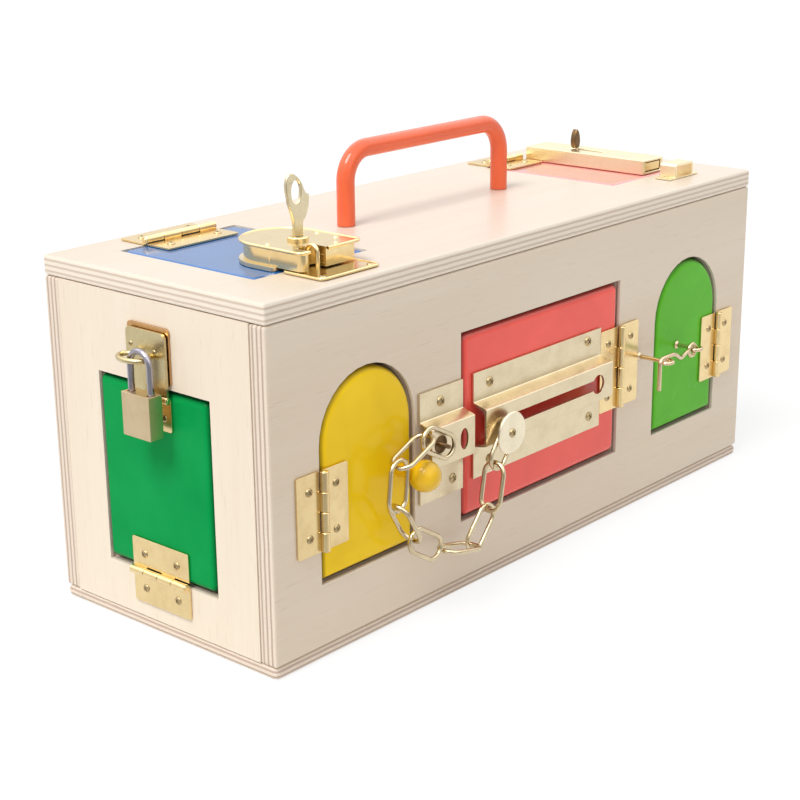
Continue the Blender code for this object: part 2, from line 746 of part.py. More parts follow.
# The shackle hangs over the ring's end: one leg goes down through the ring, the other goes
# down beside it.
shackle_radius = SHACKLE_SPACING / 2
shackle_u = RING_SIDE + RING_HALF_LENGTH
leg_share = (shackle_u - shackle_radius - RING_SIDE) / RING_HALF_LENGTH
ring_reach = RING_STANDOFF + RING_HALF_DEPTH * math.sqrt(1 - leg_share ** 2)
shackle_out = ring_reach - RING_WIRE - SHACKLE_WIRE - SHACKLE_CLEARANCE
crown_level = RING_HEIGHT + RING_WIRE + CROWN_CLEARANCE + SHACKLE_WIRE
shackle_frame = LEFT @ place(shackle_u, crown_level - shackle_radius, shackle_out)
leg_foot = PADLOCK_TOP - SHACKLE_INSERT - (crown_level - shackle_radius)
shackle_points = [(-shackle_radius, leg_foot, 0.0)]
shackle_points += [(u, v, 0.0) for u, v in reversed(arc((0.0, 0.0), shackle_radius,
                                                        shackle_radius, 0.0, math.pi, 12))]
shackle_points += [(shackle_radius, leg_foot, 0.0)]
shackle = link_mesh("padlock_shackle", curve_mesh("padlock_shackle", [(shackle_points, False)],
                                                  shackle_frame, SHACKLE_WIRE, 3), CHROME)
smooth(shackle)
swing_point = LEFT @ Vector((shackle_u, RING_HEIGHT, shackle_out))
swing_pivot = pivot("padlock_swing_axis", swing_point, hasp_pivot)
ride(swing_pivot, shackle)

body_frame = LEFT @ place(shackle_u, PADLOCK_TOP, shackle_out)
padlock = link_mesh("padlock_body", block(
    "padlock_body", (-PADLOCK_WIDTH / 2, -PADLOCK_HEIGHT, -PADLOCK_THICKNESS / 2),
    (PADLOCK_WIDTH / 2, 0.0, PADLOCK_THICKNESS / 2), body_frame, PADLOCK_BEVEL), BRASS)
for side in (-1, 1):
    cut(padlock, drum(f"shackle_bore_{side}", PADLOCK_BORE_RADIUS, -OVERRUN, PADLOCK_BORE_DEPTH,
                      body_frame @ place(side * shackle_radius, 0.0) @ turn(math.pi / 2, "X"),
                      BORE_SEGMENTS))
drop_pivot = pivot("padlock_drop_axis", LEFT @ Vector((shackle_u, PADLOCK_TOP, shackle_out)),
                   swing_pivot)
ride(drop_pivot, padlock)

# Door chain: the track on the red door
track_right = red_right + axis_gap - LARGE_HINGE_REACH - TRACK_CLEARANCE
track_left = ANCHOR_CENTRE + ANCHOR_WIDTH / 2 + ANCHOR_GAP
track_length = track_right - track_left
track_frame = FRONT @ place(track_right - track_length / 2, TRACK_MIDDLE)
track = link_mesh("chain_track_plate", plate(
    "chain_track_plate",
    [rounded((-track_length / 2, -TRACK_HEIGHT / 2), (track_length / 2,
             TRACK_HEIGHT / 2), (PLATE_CORNER,) * 4)],
    SEAT_GAP, SEAT_GAP + PLATE_THICKNESS, track_frame), NICKEL)
channel_middle = -CHANNEL_DROP
channel_reach = track_length / 2 - CHANNEL_INSET
channel_low = (-channel_reach, channel_middle - CHANNEL_HEIGHT / 2)
channel_high = (channel_reach, channel_middle + CHANNEL_HEIGHT / 2)
plate_top = SEAT_GAP + PLATE_THICKNESS
join(track, block("channel", (*channel_low, SEAT_GAP + PLATE_THICKNESS / 2),
                  (*channel_high, CHANNEL_RISE), track_frame, BOSS_ROUND))
slot_level = TRACK_MIDDLE + channel_middle
cut(track,
    block("channel_room", (channel_low[0] + CHANNEL_WALL, channel_low[1] + CHANNEL_WALL,
                           plate_top),
          (channel_high[0] - CHANNEL_WALL, channel_high[1] - CHANNEL_WALL,
           CHANNEL_RISE - CHANNEL_WALL), track_frame),
    plate("channel_slot", [rounded((SLOT_START - SLOT_HALF, slot_level - SLOT_HALF),
                                   (SLOT_END, slot_level + SLOT_HALF),
                                   (SLOT_HALF, 0.0, 0.0, SLOT_HALF))],
          plate_top + PLATE_THICKNESS, CHANNEL_RISE + OVERRUN, FRONT),
    drum("channel_keyhole", KEYHOLE_RADIUS, plate_top + PLATE_THICKNESS, CHANNEL_RISE + OVERRUN,
         FRONT @ place(SLOT_END, slot_level), FINE_SEGMENTS))
smooth(track)
ride(red_pivot, track)

# The disc that runs in the track, with the loop that holds the last link
disc_low = CHANNEL_RISE + DISC_CLEARANCE
disc_frame = FRONT @ place(SLOT_START, slot_level)
disc = link_mesh("chain_slider", drum("chain_slider", DISC_RADIUS, disc_low,
                                      disc_low + DISC_THICKNESS, disc_frame, FINE_SEGMENTS), NICKEL)
foot_high = CHANNEL_RISE - CHANNEL_WALL - DISC_CLEARANCE
disc_face = disc_low + DISC_THICKNESS
loop_u = SLOT_START - DISC_LOOP_BACK
loop_v = slot_level + DISC_LOOP_UP
loop_crown = CHAIN_STANDOFF + LINK_WIRE + LOOP_CLEARANCE + LOOP_WIRE


def loop_mesh(name, frame, foot, crown):
    """A small staple: two legs and a round crown, standing out from its frame."""
    spring = crown - LOOP_HALF_SPAN
    points = [(-LOOP_HALF_SPAN, foot, 0.0)]
    points += [(u, v, 0.0) for u, v in reversed(arc((0.0, spring), LOOP_HALF_SPAN,
                                                    LOOP_HALF_SPAN, 0.0, math.pi, 8))]
    points += [(LOOP_HALF_SPAN, foot, 0.0)]
    return curve_mesh(name, [(points, False)], frame @ turn(math.pi / 2, "X"), LOOP_WIRE)


# Chain
staple_u = ANCHOR_CENTRE - STAPLE_BACK
staple_v = ANCHOR_MIDDLE + STAPLE_UP
wire_length = LINK_LENGTH - LINK_WIRE * 2
link_radius = LINK_WIDTH / 2 - LINK_WIRE
threaded = LINK_WIRE * 2 + LINK_CLEARANCE
LINK_NAMES = ("anchor", "a", "b", "c", "d", "e", "f", "g", "h")
# The way that each link points, in degrees on the front, from the plate to the sliding disc.
HEADINGS = (155, 223, 279, 311, 333, 0, 59, 71, 72)
# Where the chain is opened, the two links meet end to end and are not threaded. The first link
# stands round the staple and slips off it, so that the yellow door can open.
OPEN_JOINTS = (5,)
SETTLE_ROUNDS = 300


def joint_offsets(spots):
    """How far each link's end wire passes the joint: more where the chain turns more.

    The end wire keeps its clearance inside the half-round end of the link that it threads.
    """
    offsets = [STAPLE_REACH]
    for i in range(1, len(spots) - 1):
        before = (spots[i] - spots[i - 1]).normalized()
        after = (spots[i + 1] - spots[i]).normalized()
        need = threaded * (link_radius * 2 - threaded) / (1 + before.dot(after)) / 2
        slack = max(link_radius ** 2 - need * 4, 0.0)
        apart = -(LINK_WIRE + OPEN_CLEARANCE / 2)
        offsets.append(apart if i in OPEN_JOINTS else (link_radius - math.sqrt(slack)) / 2)
    return offsets + [0.0]


def solve_route():
    """Settle the joints so that every link has its true length between the two fixed ends."""
    first, last = Vector((staple_u, staple_v)), Vector((loop_u, loop_v))
    spots = [first.copy()]
    for heading in HEADINGS:
        way = Vector((math.cos(math.radians(heading)), math.sin(math.radians(heading))))
        spots.append(spots[-1] + way * (wire_length - threaded))
    for _ in range(SETTLE_ROUNDS):
        reach = joint_offsets(spots)
        lengths = [wire_length - reach[i] - reach[i + 1] for i in range(len(spots) - 1)]
        spots[-1] = last.copy()
        for i in range(len(spots) - 2, -1, -1):
            spots[i] = spots[i + 1] + (spots[i] - spots[i + 1]).normalized() * lengths[i]
        spots[0] = first.copy()
        for i in range(1, len(spots)):
            spots[i] = spots[i - 1] + (spots[i] - spots[i - 1]).normalized() * lengths[i - 1]
    return spots, joint_offsets(spots)


def link_outline():
    """The centre line of a link: two straight sides and two half rounds."""
    radius = link_radius
    side = wire_length / 2 - radius
    points = arc((side, 0.0), radius, radius, -math.pi / 2, math.pi / 2, LINK_STEPS)
    points += arc((-side, 0.0), radius, radius, math.pi / 2, math.pi * 3 / 2, LINK_STEPS)
    return [(u, v, 0.0) for u, v in points]


route, offsets = solve_route()
slider_pivot = pivot("chain_slider_axis", FRONT @ Vector((SLOT_START, slot_level, 0.0)), red_pivot)
chain_owner = {"anchor": yellow_pivot, "a": yellow_pivot, "b": yellow_pivot, "c": yellow_pivot,
               "d": yellow_pivot, "e": slider_pivot, "f": slider_pivot, "g": slider_pivot,
               "h": slider_pivot}
for i, letter in enumerate(LINK_NAMES):
    along = (route[i + 1] - route[i]).normalized()
    start = route[i] - along * offsets[i]
    end = route[i + 1] + along * offsets[i + 1]
    middle = (start + end) / 2
    roll = math.pi / 2 if i % 2 == 1 else 0.0
    frame = (FRONT @ place(middle.x, middle.y, CHAIN_STANDOFF)
             @ turn(math.atan2(along.y, along.x)) @ turn(roll, "X"))
    name = "chain_link_" + letter
    ring = smooth(link_mesh(name, curve_mesh(name, [(link_outline(), True)], frame, LINK_WIRE, 1),
                            NICKEL))
    ride(chain_owner[letter], ring)

first_way = (route[1] - route[0]).normalized()
last_way = (route[-1] - route[-2]).normalized()

join(disc,
     drum("slider_neck", DISC_NECK_RADIUS, foot_high - DISC_FOOT_THICKNESS / 2, disc_face,
          disc_frame),
     drum("slider_foot", DISC_FOOT_RADIUS, foot_high - DISC_FOOT_THICKNESS, foot_high, disc_frame),
     drum("slider_rivet", DISC_RADIUS * DISC_RIVET_SHARE, disc_low + DISC_THICKNESS / 2,
          disc_face + DISC_THICKNESS / 2, disc_frame),
     loop_mesh("slider_loop", FRONT @ place(loop_u, loop_v)
               @ turn(math.atan2(last_way.y, last_way.x)), disc_low + DISC_THICKNESS / 2,
               loop_crown))
smooth(disc)
ride(slider_pivot, disc)

# The plate on the wall between the yellow and the red door
anchor_frame = FRONT @ place(ANCHOR_CENTRE, ANCHOR_MIDDLE)
anchor = link_mesh("chain_anchor_plate", plate(
    "chain_anchor_plate",
    [rounded((-ANCHOR_WIDTH / 2, -ANCHOR_HEIGHT / 2), (ANCHOR_WIDTH / 2,
             ANCHOR_HEIGHT / 2), (PLATE_CORNER,) * 4)],
    SEAT_GAP, plate_top, anchor_frame), NICKEL)
join(anchor, block("boss", (-BOSS_WIDTH / 2, -BOSS_HEIGHT / 2,
                            SEAT_GAP + PLATE_THICKNESS / 2),
                   (BOSS_WIDTH / 2, BOSS_HEIGHT / 2, BOSS_RISE), anchor_frame, BOSS_ROUND))
cut(anchor,
    block("boss_room", (-BOSS_WIDTH / 2 + BOSS_WALL, -BOSS_HEIGHT / 2 + BOSS_WALL,
                        plate_top),
          (BOSS_WIDTH / 2 + OVERRUN, BOSS_HEIGHT / 2 - BOSS_WALL,
           BOSS_RISE - BOSS_WALL), anchor_frame),
    drum("boss_hole", BOSS_HOLE_RADIUS, plate_top, BOSS_RISE + OVERRUN,
         anchor_frame @ place(BOSS_WIDTH / 2, 0.0), ROUND_SEGMENTS))
smooth(anchor)
anchor_staple = smooth(link_mesh("chain_anchor_staple", loop_mesh(
    "chain_anchor_staple", FRONT @ place(staple_u, staple_v)
    @ turn(math.atan2(first_way.y, first_way.x)), BOSS_RISE + SEAT_GAP,
    CHAIN_STANDOFF + LINK_WIRE), ANTIQUE))

# Hook and eyes


def screw_eye(name, u, v):
    """A screw eye: a collar, a shank and a level ring."""
    frame = FRONT @ place(u, v)
    level = turn(-math.pi / 2, "X")
    points = [(a, b, 0.0) for a, b in oval((0.0, 0.0), EYE_RADIUS, EYE_RADIUS, 16)]
    obj = link_mesh(name, curve_mesh(name, [(points, True)],
                                     frame @ place(0.0, 0.0, EYE_STANDOFF) @ level, EYE_WIRE, 1),
                    BRASS)
    join(obj, drum(name + "_shank", EYE_SHANK_RADIUS, SEAT_GAP, EYE_STANDOFF - EYE_RADIUS, frame,
                   BORE_SEGMENTS),
         drum(name + "_collar", EYE_COLLAR_RADIUS, SEAT_GAP, SEAT_GAP + EYE_COLLAR_THICKNESS,
              frame))
    return smooth(obj)


wall_eye = screw_eye("hook_wall_eye", WALL_EYE_X, WALL_EYE_HEIGHT)
door_eye = screw_eye("hook_door_eye", DOOR_EYE_X, DOOR_EYE_HEIGHT)
ride(green_pivot, door_eye)

hook_u = DOOR_EYE_X - EYE_RADIUS
hook_frame = FRONT @ place(hook_u, DOOR_EYE_HEIGHT, EYE_STANDOFF)
hook_point = FRONT @ Vector((hook_u, DOOR_EYE_HEIGHT, EYE_STANDOFF))
hook_pivot = pivot("hook_axis", hook_point, green_pivot)
hook_ring = [(a, b, 0.0) for a, b in oval((0.0, 0.0), HOOK_RING_RADIUS, HOOK_RING_RADIUS, 14)]
hook = link_mesh("hook", curve_mesh("hook", [(hook_ring, True)], hook_frame, HOOK_WIRE), BRASS)
prong_u = (WALL_EYE_X - EYE_RADIUS - EYE_WIRE - HOOK_WIRE - HOOK_CLEARANCE) - hook_u
rod_v = (WALL_EYE_HEIGHT + EYE_WIRE + HOOK_WIRE + HOOK_CLEARANCE) - DOOR_EYE_HEIGHT
rod_turn_u = (WALL_EYE_X + EYE_RADIUS + EYE_WIRE * 2) - hook_u
rod_points = [(-HOOK_RING_RADIUS, 0.0, 0.0), (-HOOK_RING_RADIUS * 2, 0.0, 0.0),
              (rod_turn_u, rod_v, 0.0)]
rod_points += [(u, v, 0.0) for u, v in arc((prong_u + HOOK_BEND, rod_v - HOOK_BEND), HOOK_BEND,
                                           HOOK_BEND, math.pi / 2, math.pi, 5)]
rod_points += [(prong_u, rod_v - PRONG_DROP, 0.0)]
join(hook, curve_mesh("hook_rod", [(rod_points, False)], hook_frame, HOOK_WIRE))
smooth(hook)
ride(hook_pivot, hook)

# Key lock on the blue door


def lock_outline(inset, front_end):
    """The plan of the lock: straight sides, a half-round back and square front corners."""
    reach = LOCK_WIDTH / 2 - inset
    centre = (LOCK_CENTRE, LOCK_BACK - LOCK_WIDTH / 2)
    corner = LOCK_CORNER
    low = LOCK_CENTRE - reach
    high = LOCK_CENTRE + reach
    points = arc((low + corner, front_end + corner), corner, corner, math.pi, math.pi * 3 / 2,
                 CORNER_STEPS)
    points += arc((high - corner, front_end + corner), corner, corner, -math.pi / 2, 0.0,
                  CORNER_STEPS)
    points += arc(centre, reach, reach, 0.0, math.pi, LOCK_STEPS)
    return points


case_front = LOCK_FRONT
lock_height = LOCK_CASE_RISE + LOCK_CAP_THICKNESS
foot_front = TOP_DOOR_FRONT + DOOR_GAP
foot_top = SEAT_GAP + LOCK_FOOT_THICKNESS
case_low = foot_top - LOCK_FOOT_THICKNESS / 2
lock_case = link_mesh("lock_case", plate("lock_case", [lock_outline(0.0, foot_front)], SEAT_GAP,
                                         foot_top, TOP), BRASS)
over_rim = SEAT_GAP + RIM_PLATE_THICKNESS + SEAT_GAP
join(lock_case,
     plate("lock_body", [lock_outline(LOCK_CASE_INSET, foot_front + LOCK_CASE_INSET)], case_low,
           LOCK_CASE_RISE + LOCK_CAP_THICKNESS / 2, TOP),
     plate("lock_nose", [lock_outline(LOCK_CASE_INSET, case_front + LOCK_CASE_INSET)], over_rim,
           LOCK_CASE_RISE + LOCK_CAP_THICKNESS / 2, TOP),
     plate("lock_cap", [lock_outline(0.0, case_front)], LOCK_CASE_RISE,
           LOCK_CASE_RISE + LOCK_CAP_THICKNESS, TOP))
notch_u = LOCK_CENTRE + NOTCH_OFFSET
notch_back = case_front + NOTCH_DEPTH
bolt_v = (case_front + notch_back) / 2
bolt_low = BOLT_LEVEL - BOLT_HEIGHT / 2
bolt_start = notch_u + NOTCH_WIDTH / 2 + BOLT_CLEARANCE
bolt_end = bolt_start + BOLT_LENGTH
cut(lock_case,
    block("lock_notch", (notch_u - NOTCH_WIDTH / 2, case_front - OVERRUN, 0.0),
          (notch_u + NOTCH_WIDTH / 2, notch_back, lock_height + OVERRUN), TOP),
    block("bolt_channel", (notch_u, bolt_v - BOLT_WIDTH / 2 - BOLT_CLEARANCE,
                           bolt_low - BOLT_CLEARANCE),
          (bolt_end + BOLT_CLEARANCE, bolt_v + BOLT_WIDTH / 2 + BOLT_CLEARANCE,
           BOLT_LEVEL + BOLT_HEIGHT / 2 + BOLT_CLEARANCE), TOP),
    drum("cylinder_bore", CYLINDER_RADIUS + BOLT_CLEARANCE,
         lock_height - CYLINDER_DEPTH - BOLT_CLEARANCE, lock_height + OVERRUN,
         TOP @ place(LOCK_CENTRE, CYLINDER_PLACE), FINE_SEGMENTS))
smooth(lock_case)
ride(blue_pivot, lock_case)

lock_bolt = link_mesh("lock_bolt", block(
    "lock_bolt", (bolt_start, bolt_v - BOLT_WIDTH / 2, bolt_low),
    (bolt_end, bolt_v + BOLT_WIDTH / 2, BOLT_LEVEL + BOLT_HEIGHT / 2), TOP), BRASS)
bolt_pivot = pivot("lock_bolt_axis", TOP @ Vector((bolt_start, bolt_v, BOLT_LEVEL)), blue_pivot)
ride(bolt_pivot, lock_bolt)

key_frame = TOP @ place(LOCK_CENTRE, CYLINDER_PLACE)
cylinder_top = lock_height + CYLINDER_RISE
cylinder = link_mesh("lock_cylinder", drum("lock_cylinder", CYLINDER_RADIUS,
                                           lock_height - CYLINDER_DEPTH, cylinder_top,
                                           key_frame, FINE_SEGMENTS), BRASS)
slot_reach = KEY_BLADE_WIDTH / 2 + KEY_CLEARANCE
slot_side = KEY_THICKNESS / 2 + KEY_CLEARANCE
cut(cylinder, block("key_slot", (-slot_reach, -slot_side,
                                 cylinder_top - KEY_BLADE_DEPTH - KEY_CLEARANCE),
                    (slot_reach, slot_side, cylinder_top + OVERRUN), key_frame))
smooth(cylinder)
key_pivot = pivot("lock_key_axis", key_frame @ Vector((0.0, 0.0, cylinder_top)), blue_pivot)
ride(key_pivot, cylinder)

blade = KEY_BLADE_WIDTH / 2
blade_foot = cylinder_top - KEY_BLADE_DEPTH
bow_foot = cylinder_top + KEY_SHANK_HEIGHT
bow = arc((0.0, bow_foot + KEY_BOW_HEIGHT / 2), KEY_BOW_WIDTH / 2, KEY_BOW_HEIGHT / 2,
          math.radians(-62), math.radians(242), 20)
key_outline = [(-blade, blade_foot), (blade, blade_foot), (blade, cylinder_top
               + KEY_SHANK_HEIGHT / 2)] + bow + [(-blade, cylinder_top
                                                     + KEY_SHANK_HEIGHT / 2)]
key_hole = oval((0.0, bow_foot + KEY_BOW_HEIGHT / 2 + KEY_HOLE_HEIGHT * KEY_HOLE_RISE_SHARE),
                KEY_HOLE_WIDTH / 2, KEY_HOLE_HEIGHT / 2, 18)
key = link_mesh("lock_key", plate("lock_key", [key_outline, key_hole], -KEY_THICKNESS / 2,
                                  KEY_THICKNESS / 2,
                                  key_frame @ turn(math.pi / 2, "X")), BRASS)
smooth(key)
ride(key_pivot, key)

rim_low = (LOCK_CENTRE - RIM_PLATE_WIDTH / 2, RIM_PLATE_FRONT)
rim_high = (LOCK_CENTRE + RIM_PLATE_WIDTH / 2, RIM_PLATE_BACK)
keeper = link_mesh("lock_keeper", plate(
    "lock_keeper", [rounded(rim_low, rim_high, (PLATE_CORNER,) * 4)], SEAT_GAP,
    SEAT_GAP + RIM_PLATE_THICKNESS, TOP), BRASS)
staple_reach = RIM_STAPLE_SPAN / 2
staple_spring = RIM_STAPLE_RISE - staple_reach
staple_points = [(-staple_reach, SEAT_GAP + RIM_PLATE_THICKNESS / 2, 0.0)]
staple_points += [(u, v, 0.0) for u, v in reversed(arc((0.0, staple_spring), staple_reach,
                                                       staple_reach, 0.0, math.pi, 10))]
staple_points += [(staple_reach, SEAT_GAP + RIM_PLATE_THICKNESS / 2, 0.0)]
join(keeper, curve_mesh("keeper_staple", [(staple_points, False)],
                        TOP @ place(notch_u, bolt_v) @ turn(math.pi / 2)
                        @ turn(math.pi / 2, "X"), RIM_STAPLE_WIRE))
smooth(keeper)

# Slide bolt on the pink door
housing_right = HOUSING_LEFT + HOUSING_WIDTH
housing_middle = (HOUSING_LEFT + housing_right) / 2
housing = link_mesh("bolt_housing", block(
    "bolt_housing", (HOUSING_LEFT, HOUSING_FRONT, SEAT_GAP),
    (housing_right, HOUSING_BACK, HOUSING_HEIGHT), TOP), BRASS)
bevel(housing, PANEL_ROUND)
slide_low = SEAT_GAP + HOUSING_WALL + SLIDE_CLEARANCE
slide_high = slide_low + SLIDE_THICKNESS
slide_reach = SLIDE_WIDTH / 2
neck_reach = THUMB_NECK / 2
neck_room = neck_reach + THUMB_SLOT_CLEARANCE
slide_tip = HOUSING_FRONT + SLIDE_CLEARANCE
cut(housing,
    block("housing_room", (housing_middle - slide_reach - SLIDE_CLEARANCE,
                           HOUSING_FRONT - OVERRUN, SEAT_GAP + HOUSING_WALL),
          (housing_middle + slide_reach + SLIDE_CLEARANCE, HOUSING_BACK - HOUSING_WALL,
           slide_high + SLIDE_CLEARANCE), TOP),
    block("thumb_slot", (housing_middle - neck_room, THUMB_PLACE - SLIDE_TRAVEL - neck_room
                         - THUMB_SLOT_CLEARANCE, slide_high),
          (housing_middle + neck_room, THUMB_PLACE + neck_room + THUMB_SLOT_CLEARANCE,
           HOUSING_HEIGHT + OVERRUN), TOP))
smooth(housing)
ride(pink_pivot, housing)

slide_pivot = pivot("slide_bolt_axis", TOP @ Vector((housing_middle, slide_tip, slide_low)),
                    pink_pivot)
slide = link_mesh("slide_bolt", block("slide_bolt", (housing_middle - slide_reach, slide_tip,
                                                     slide_low),
                                      (housing_middle + slide_reach, SLIDE_BACK, slide_high),
                                      TOP), BRASS)
bevel(slide, PANEL_ROUND / 2)
thumb_frame = TOP @ place(housing_middle, THUMB_PLACE) @ turn(math.pi / 2, "X")
neck_top = HOUSING_HEIGHT + SLIDE_CLEARANCE
join(slide, block("thumb_neck", (-neck_reach, slide_high - SLIDE_CLEARANCE, -neck_reach),
                  (neck_reach, neck_top - THUMB_SLOT_CLEARANCE, neck_reach), thumb_frame))
smooth(slide)
ride(slide_pivot, slide)
thumb_round = THUMB_WIDTH * THUMB_ROUND_SHARE
thumb = link_mesh("bolt_thumb_piece", plate(
    "bolt_thumb_piece", [rounded((-THUMB_WIDTH / 2, neck_top),
                                 (THUMB_WIDTH / 2, neck_top + THUMB_HEIGHT),
                                 (thumb_round / 2, thumb_round / 2, thumb_round,
                                  thumb_round))],
    -THUMB_THICKNESS / 2, THUMB_THICKNESS / 2, thumb_frame), ANTIQUE)
bevel(thumb, PANEL_ROUND / 2)
smooth(thumb)
ride(slide_pivot, thumb)

keeper_back = TOP_DOOR_FRONT - DOOR_GAP - KEEPER_SETBACK + KEEPER_WALL
keeper_room = slide_reach + SLIDE_CLEARANCE
keeper_wide = keeper_room + KEEPER_WALL
keeper_top = slide_high + SLIDE_CLEARANCE + KEEPER_WALL
bolt_keeper = link_mesh("bolt_keeper", block(
    "bolt_keeper", (housing_middle - keeper_wide, keeper_back - KEEPER_DEPTH, SEAT_GAP),
    (housing_middle + keeper_wide, keeper_back, keeper_top), TOP), BRASS)
join(bolt_keeper, block("keeper_foot", (housing_middle - keeper_wide - KEEPER_FOOT,
                                        keeper_back - KEEPER_DEPTH, SEAT_GAP),
                        (housing_middle + keeper_wide + KEEPER_FOOT, keeper_back,
                         SEAT_GAP + KEEPER_WALL / 2), TOP))
cut(bolt_keeper, block("keeper_room", (housing_middle - keeper_room,
                                       keeper_back - KEEPER_DEPTH - OVERRUN,
                                       SEAT_GAP + KEEPER_WALL / 2),
                       (housing_middle + keeper_room, keeper_back + OVERRUN,
                        slide_high + SLIDE_CLEARANCE), TOP))
smooth(bolt_keeper)
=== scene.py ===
"""Looks of the wooden latch box: its finishes, its fine hardware, the studio and the camera.

Metres, +Z up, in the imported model's frame. The long front faces -Y, the end with the padlock -X.
"""
import json
import logging
import math
from dataclasses import dataclass
from enum import Enum
from typing import Any, Callable, Iterable, Sequence

import bmesh
import bpy
import numpy as np
from mathutils import Matrix, Vector


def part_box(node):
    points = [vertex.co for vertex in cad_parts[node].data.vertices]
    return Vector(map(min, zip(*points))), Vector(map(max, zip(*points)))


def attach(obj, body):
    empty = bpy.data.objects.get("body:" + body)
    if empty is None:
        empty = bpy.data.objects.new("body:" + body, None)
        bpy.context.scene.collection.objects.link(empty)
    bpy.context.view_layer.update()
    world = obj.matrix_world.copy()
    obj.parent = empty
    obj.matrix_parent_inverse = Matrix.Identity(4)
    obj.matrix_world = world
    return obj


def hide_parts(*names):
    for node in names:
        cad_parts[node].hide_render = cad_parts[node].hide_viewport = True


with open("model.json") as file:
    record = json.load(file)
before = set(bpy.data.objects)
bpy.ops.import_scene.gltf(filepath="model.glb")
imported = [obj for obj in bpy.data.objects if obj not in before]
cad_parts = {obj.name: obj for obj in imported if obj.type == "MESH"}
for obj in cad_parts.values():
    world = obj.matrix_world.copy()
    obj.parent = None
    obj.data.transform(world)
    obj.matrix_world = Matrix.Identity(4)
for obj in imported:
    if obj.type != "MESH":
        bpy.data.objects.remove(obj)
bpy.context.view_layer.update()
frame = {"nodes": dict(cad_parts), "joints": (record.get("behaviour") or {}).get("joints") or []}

LOG = logging.getLogger("latch_box")

Mesh = bpy.types.Mesh
Point2 = tuple[float, float]
Point3 = tuple[float, float, float]
Colour = tuple[float, float, float]
HALF_TURN, QUARTER_TURN = math.pi, math.pi / 2
SMOOTH_ANGLE, BEVEL_ANGLE = math.radians(38), math.radians(40)
SEAT = 0.0003
OVERRUN = 0.002
WELD = 0.000015
CORNER_STEPS = 5
IN_PLACE = Matrix.Identity(4)


def shift(u: float, v: float, out: float = 0.0) -> Matrix:
    """Move in a face's own frame."""
    return Matrix.Translation((u, v, out))


def turn(angle: float, axis: str = "Z") -> Matrix:
    """Rotate about one axis."""
    return Matrix.Rotation(angle, 4, axis)


STAND = turn(QUARTER_TURN, "X")


class Axis(Enum):
    """A direction of the shared frame, by its index."""

    X = 0
    Y = 1
    Z = 2


class Face(Enum):
    """A side of the box that hardware is fixed to."""

    FRONT = "front_panel"
    LEFT = "left_end_panel"
    TOP = "lid_panel"

    @property
    def plane(self) -> Matrix:
        """Give the face's own frame: u to the right, v upwards, the third axis outwards."""
        low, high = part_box(self.value)
        if self is Face.FRONT:
            return Matrix(((1, 0, 0, 0), (0, 0, -1, low.y), (0, 1, 0, 0), (0, 0, 0, 1)))
        if self is Face.LEFT:
            return Matrix(((0, 0, -1, low.x), (-1, 0, 0, 0), (0, 1, 0, 0), (0, 0, 0, 1)))
        return shift(0, 0, high.z)

    def seat(self, node: str) -> tuple[Vector, Vector, Matrix]:
        """Give a node's two corners in the face's frame, and that frame at the node's middle."""
        ends = [self.plane.inverted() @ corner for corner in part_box(node)]
        low, high = (Vector([pick(values) for values in zip(*ends)]) for pick in (min, max))
        return low, high, self.plane @ shift((low.x + high.x) / 2, (low.y + high.y) / 2)

    def joint(self, name: str) -> Vector:
        """Give the point on a packed joint's axis in the face's frame."""
        return self.plane.inverted() @ Vector(next(
            j["pos_m"] for j in frame["joints"] if j["name"] == name))


# Shader graphs


def operator(operation: str, swapped: bool = False) -> Callable[["Value", Any], "Value"]:
    """Make an operator that adds a Math node, with its two inputs swapped or not."""
    def apply(own: "Value", other: Any) -> "Value":
        """Add the node."""
        return own.math(operation, *((other, own) if swapped else (own, other)))
    return apply


class Value:
    """A shader socket whose operators add Math nodes."""

    __add__, __radd__ = operator("ADD"), operator("ADD", True)
    __sub__, __rsub__ = operator("SUBTRACT"), operator("SUBTRACT", True)
    __mul__, __rmul__ = operator("MULTIPLY"), operator("MULTIPLY", True)

    def __init__(self, graph: "Graph", socket: bpy.types.NodeSocket) -> None:
        """Wrap a socket of a graph."""
        self.graph, self.socket = graph, socket

    def math(self, operation: str, *inputs: Any, clamp: bool = False) -> "Value":
        """Add a Math node; with clamp its result stays between 0 and 1."""
        return self.graph.add("ShaderNodeMath", {"operation": operation, "use_clamp": clamp},
                              dict(enumerate(inputs)))

    def size(self) -> "Value":
        """Give the value without its sign."""
        return self.math("ABSOLUTE", self)

    def ease(self, low: float, high: float) -> "Value":
        """Rise from 0 at low to 1 at high, which may be the lower of the two."""
        share = 1.0 / (high - low)
        return self.math("MULTIPLY_ADD", self, share, -low * share, clamp=True)


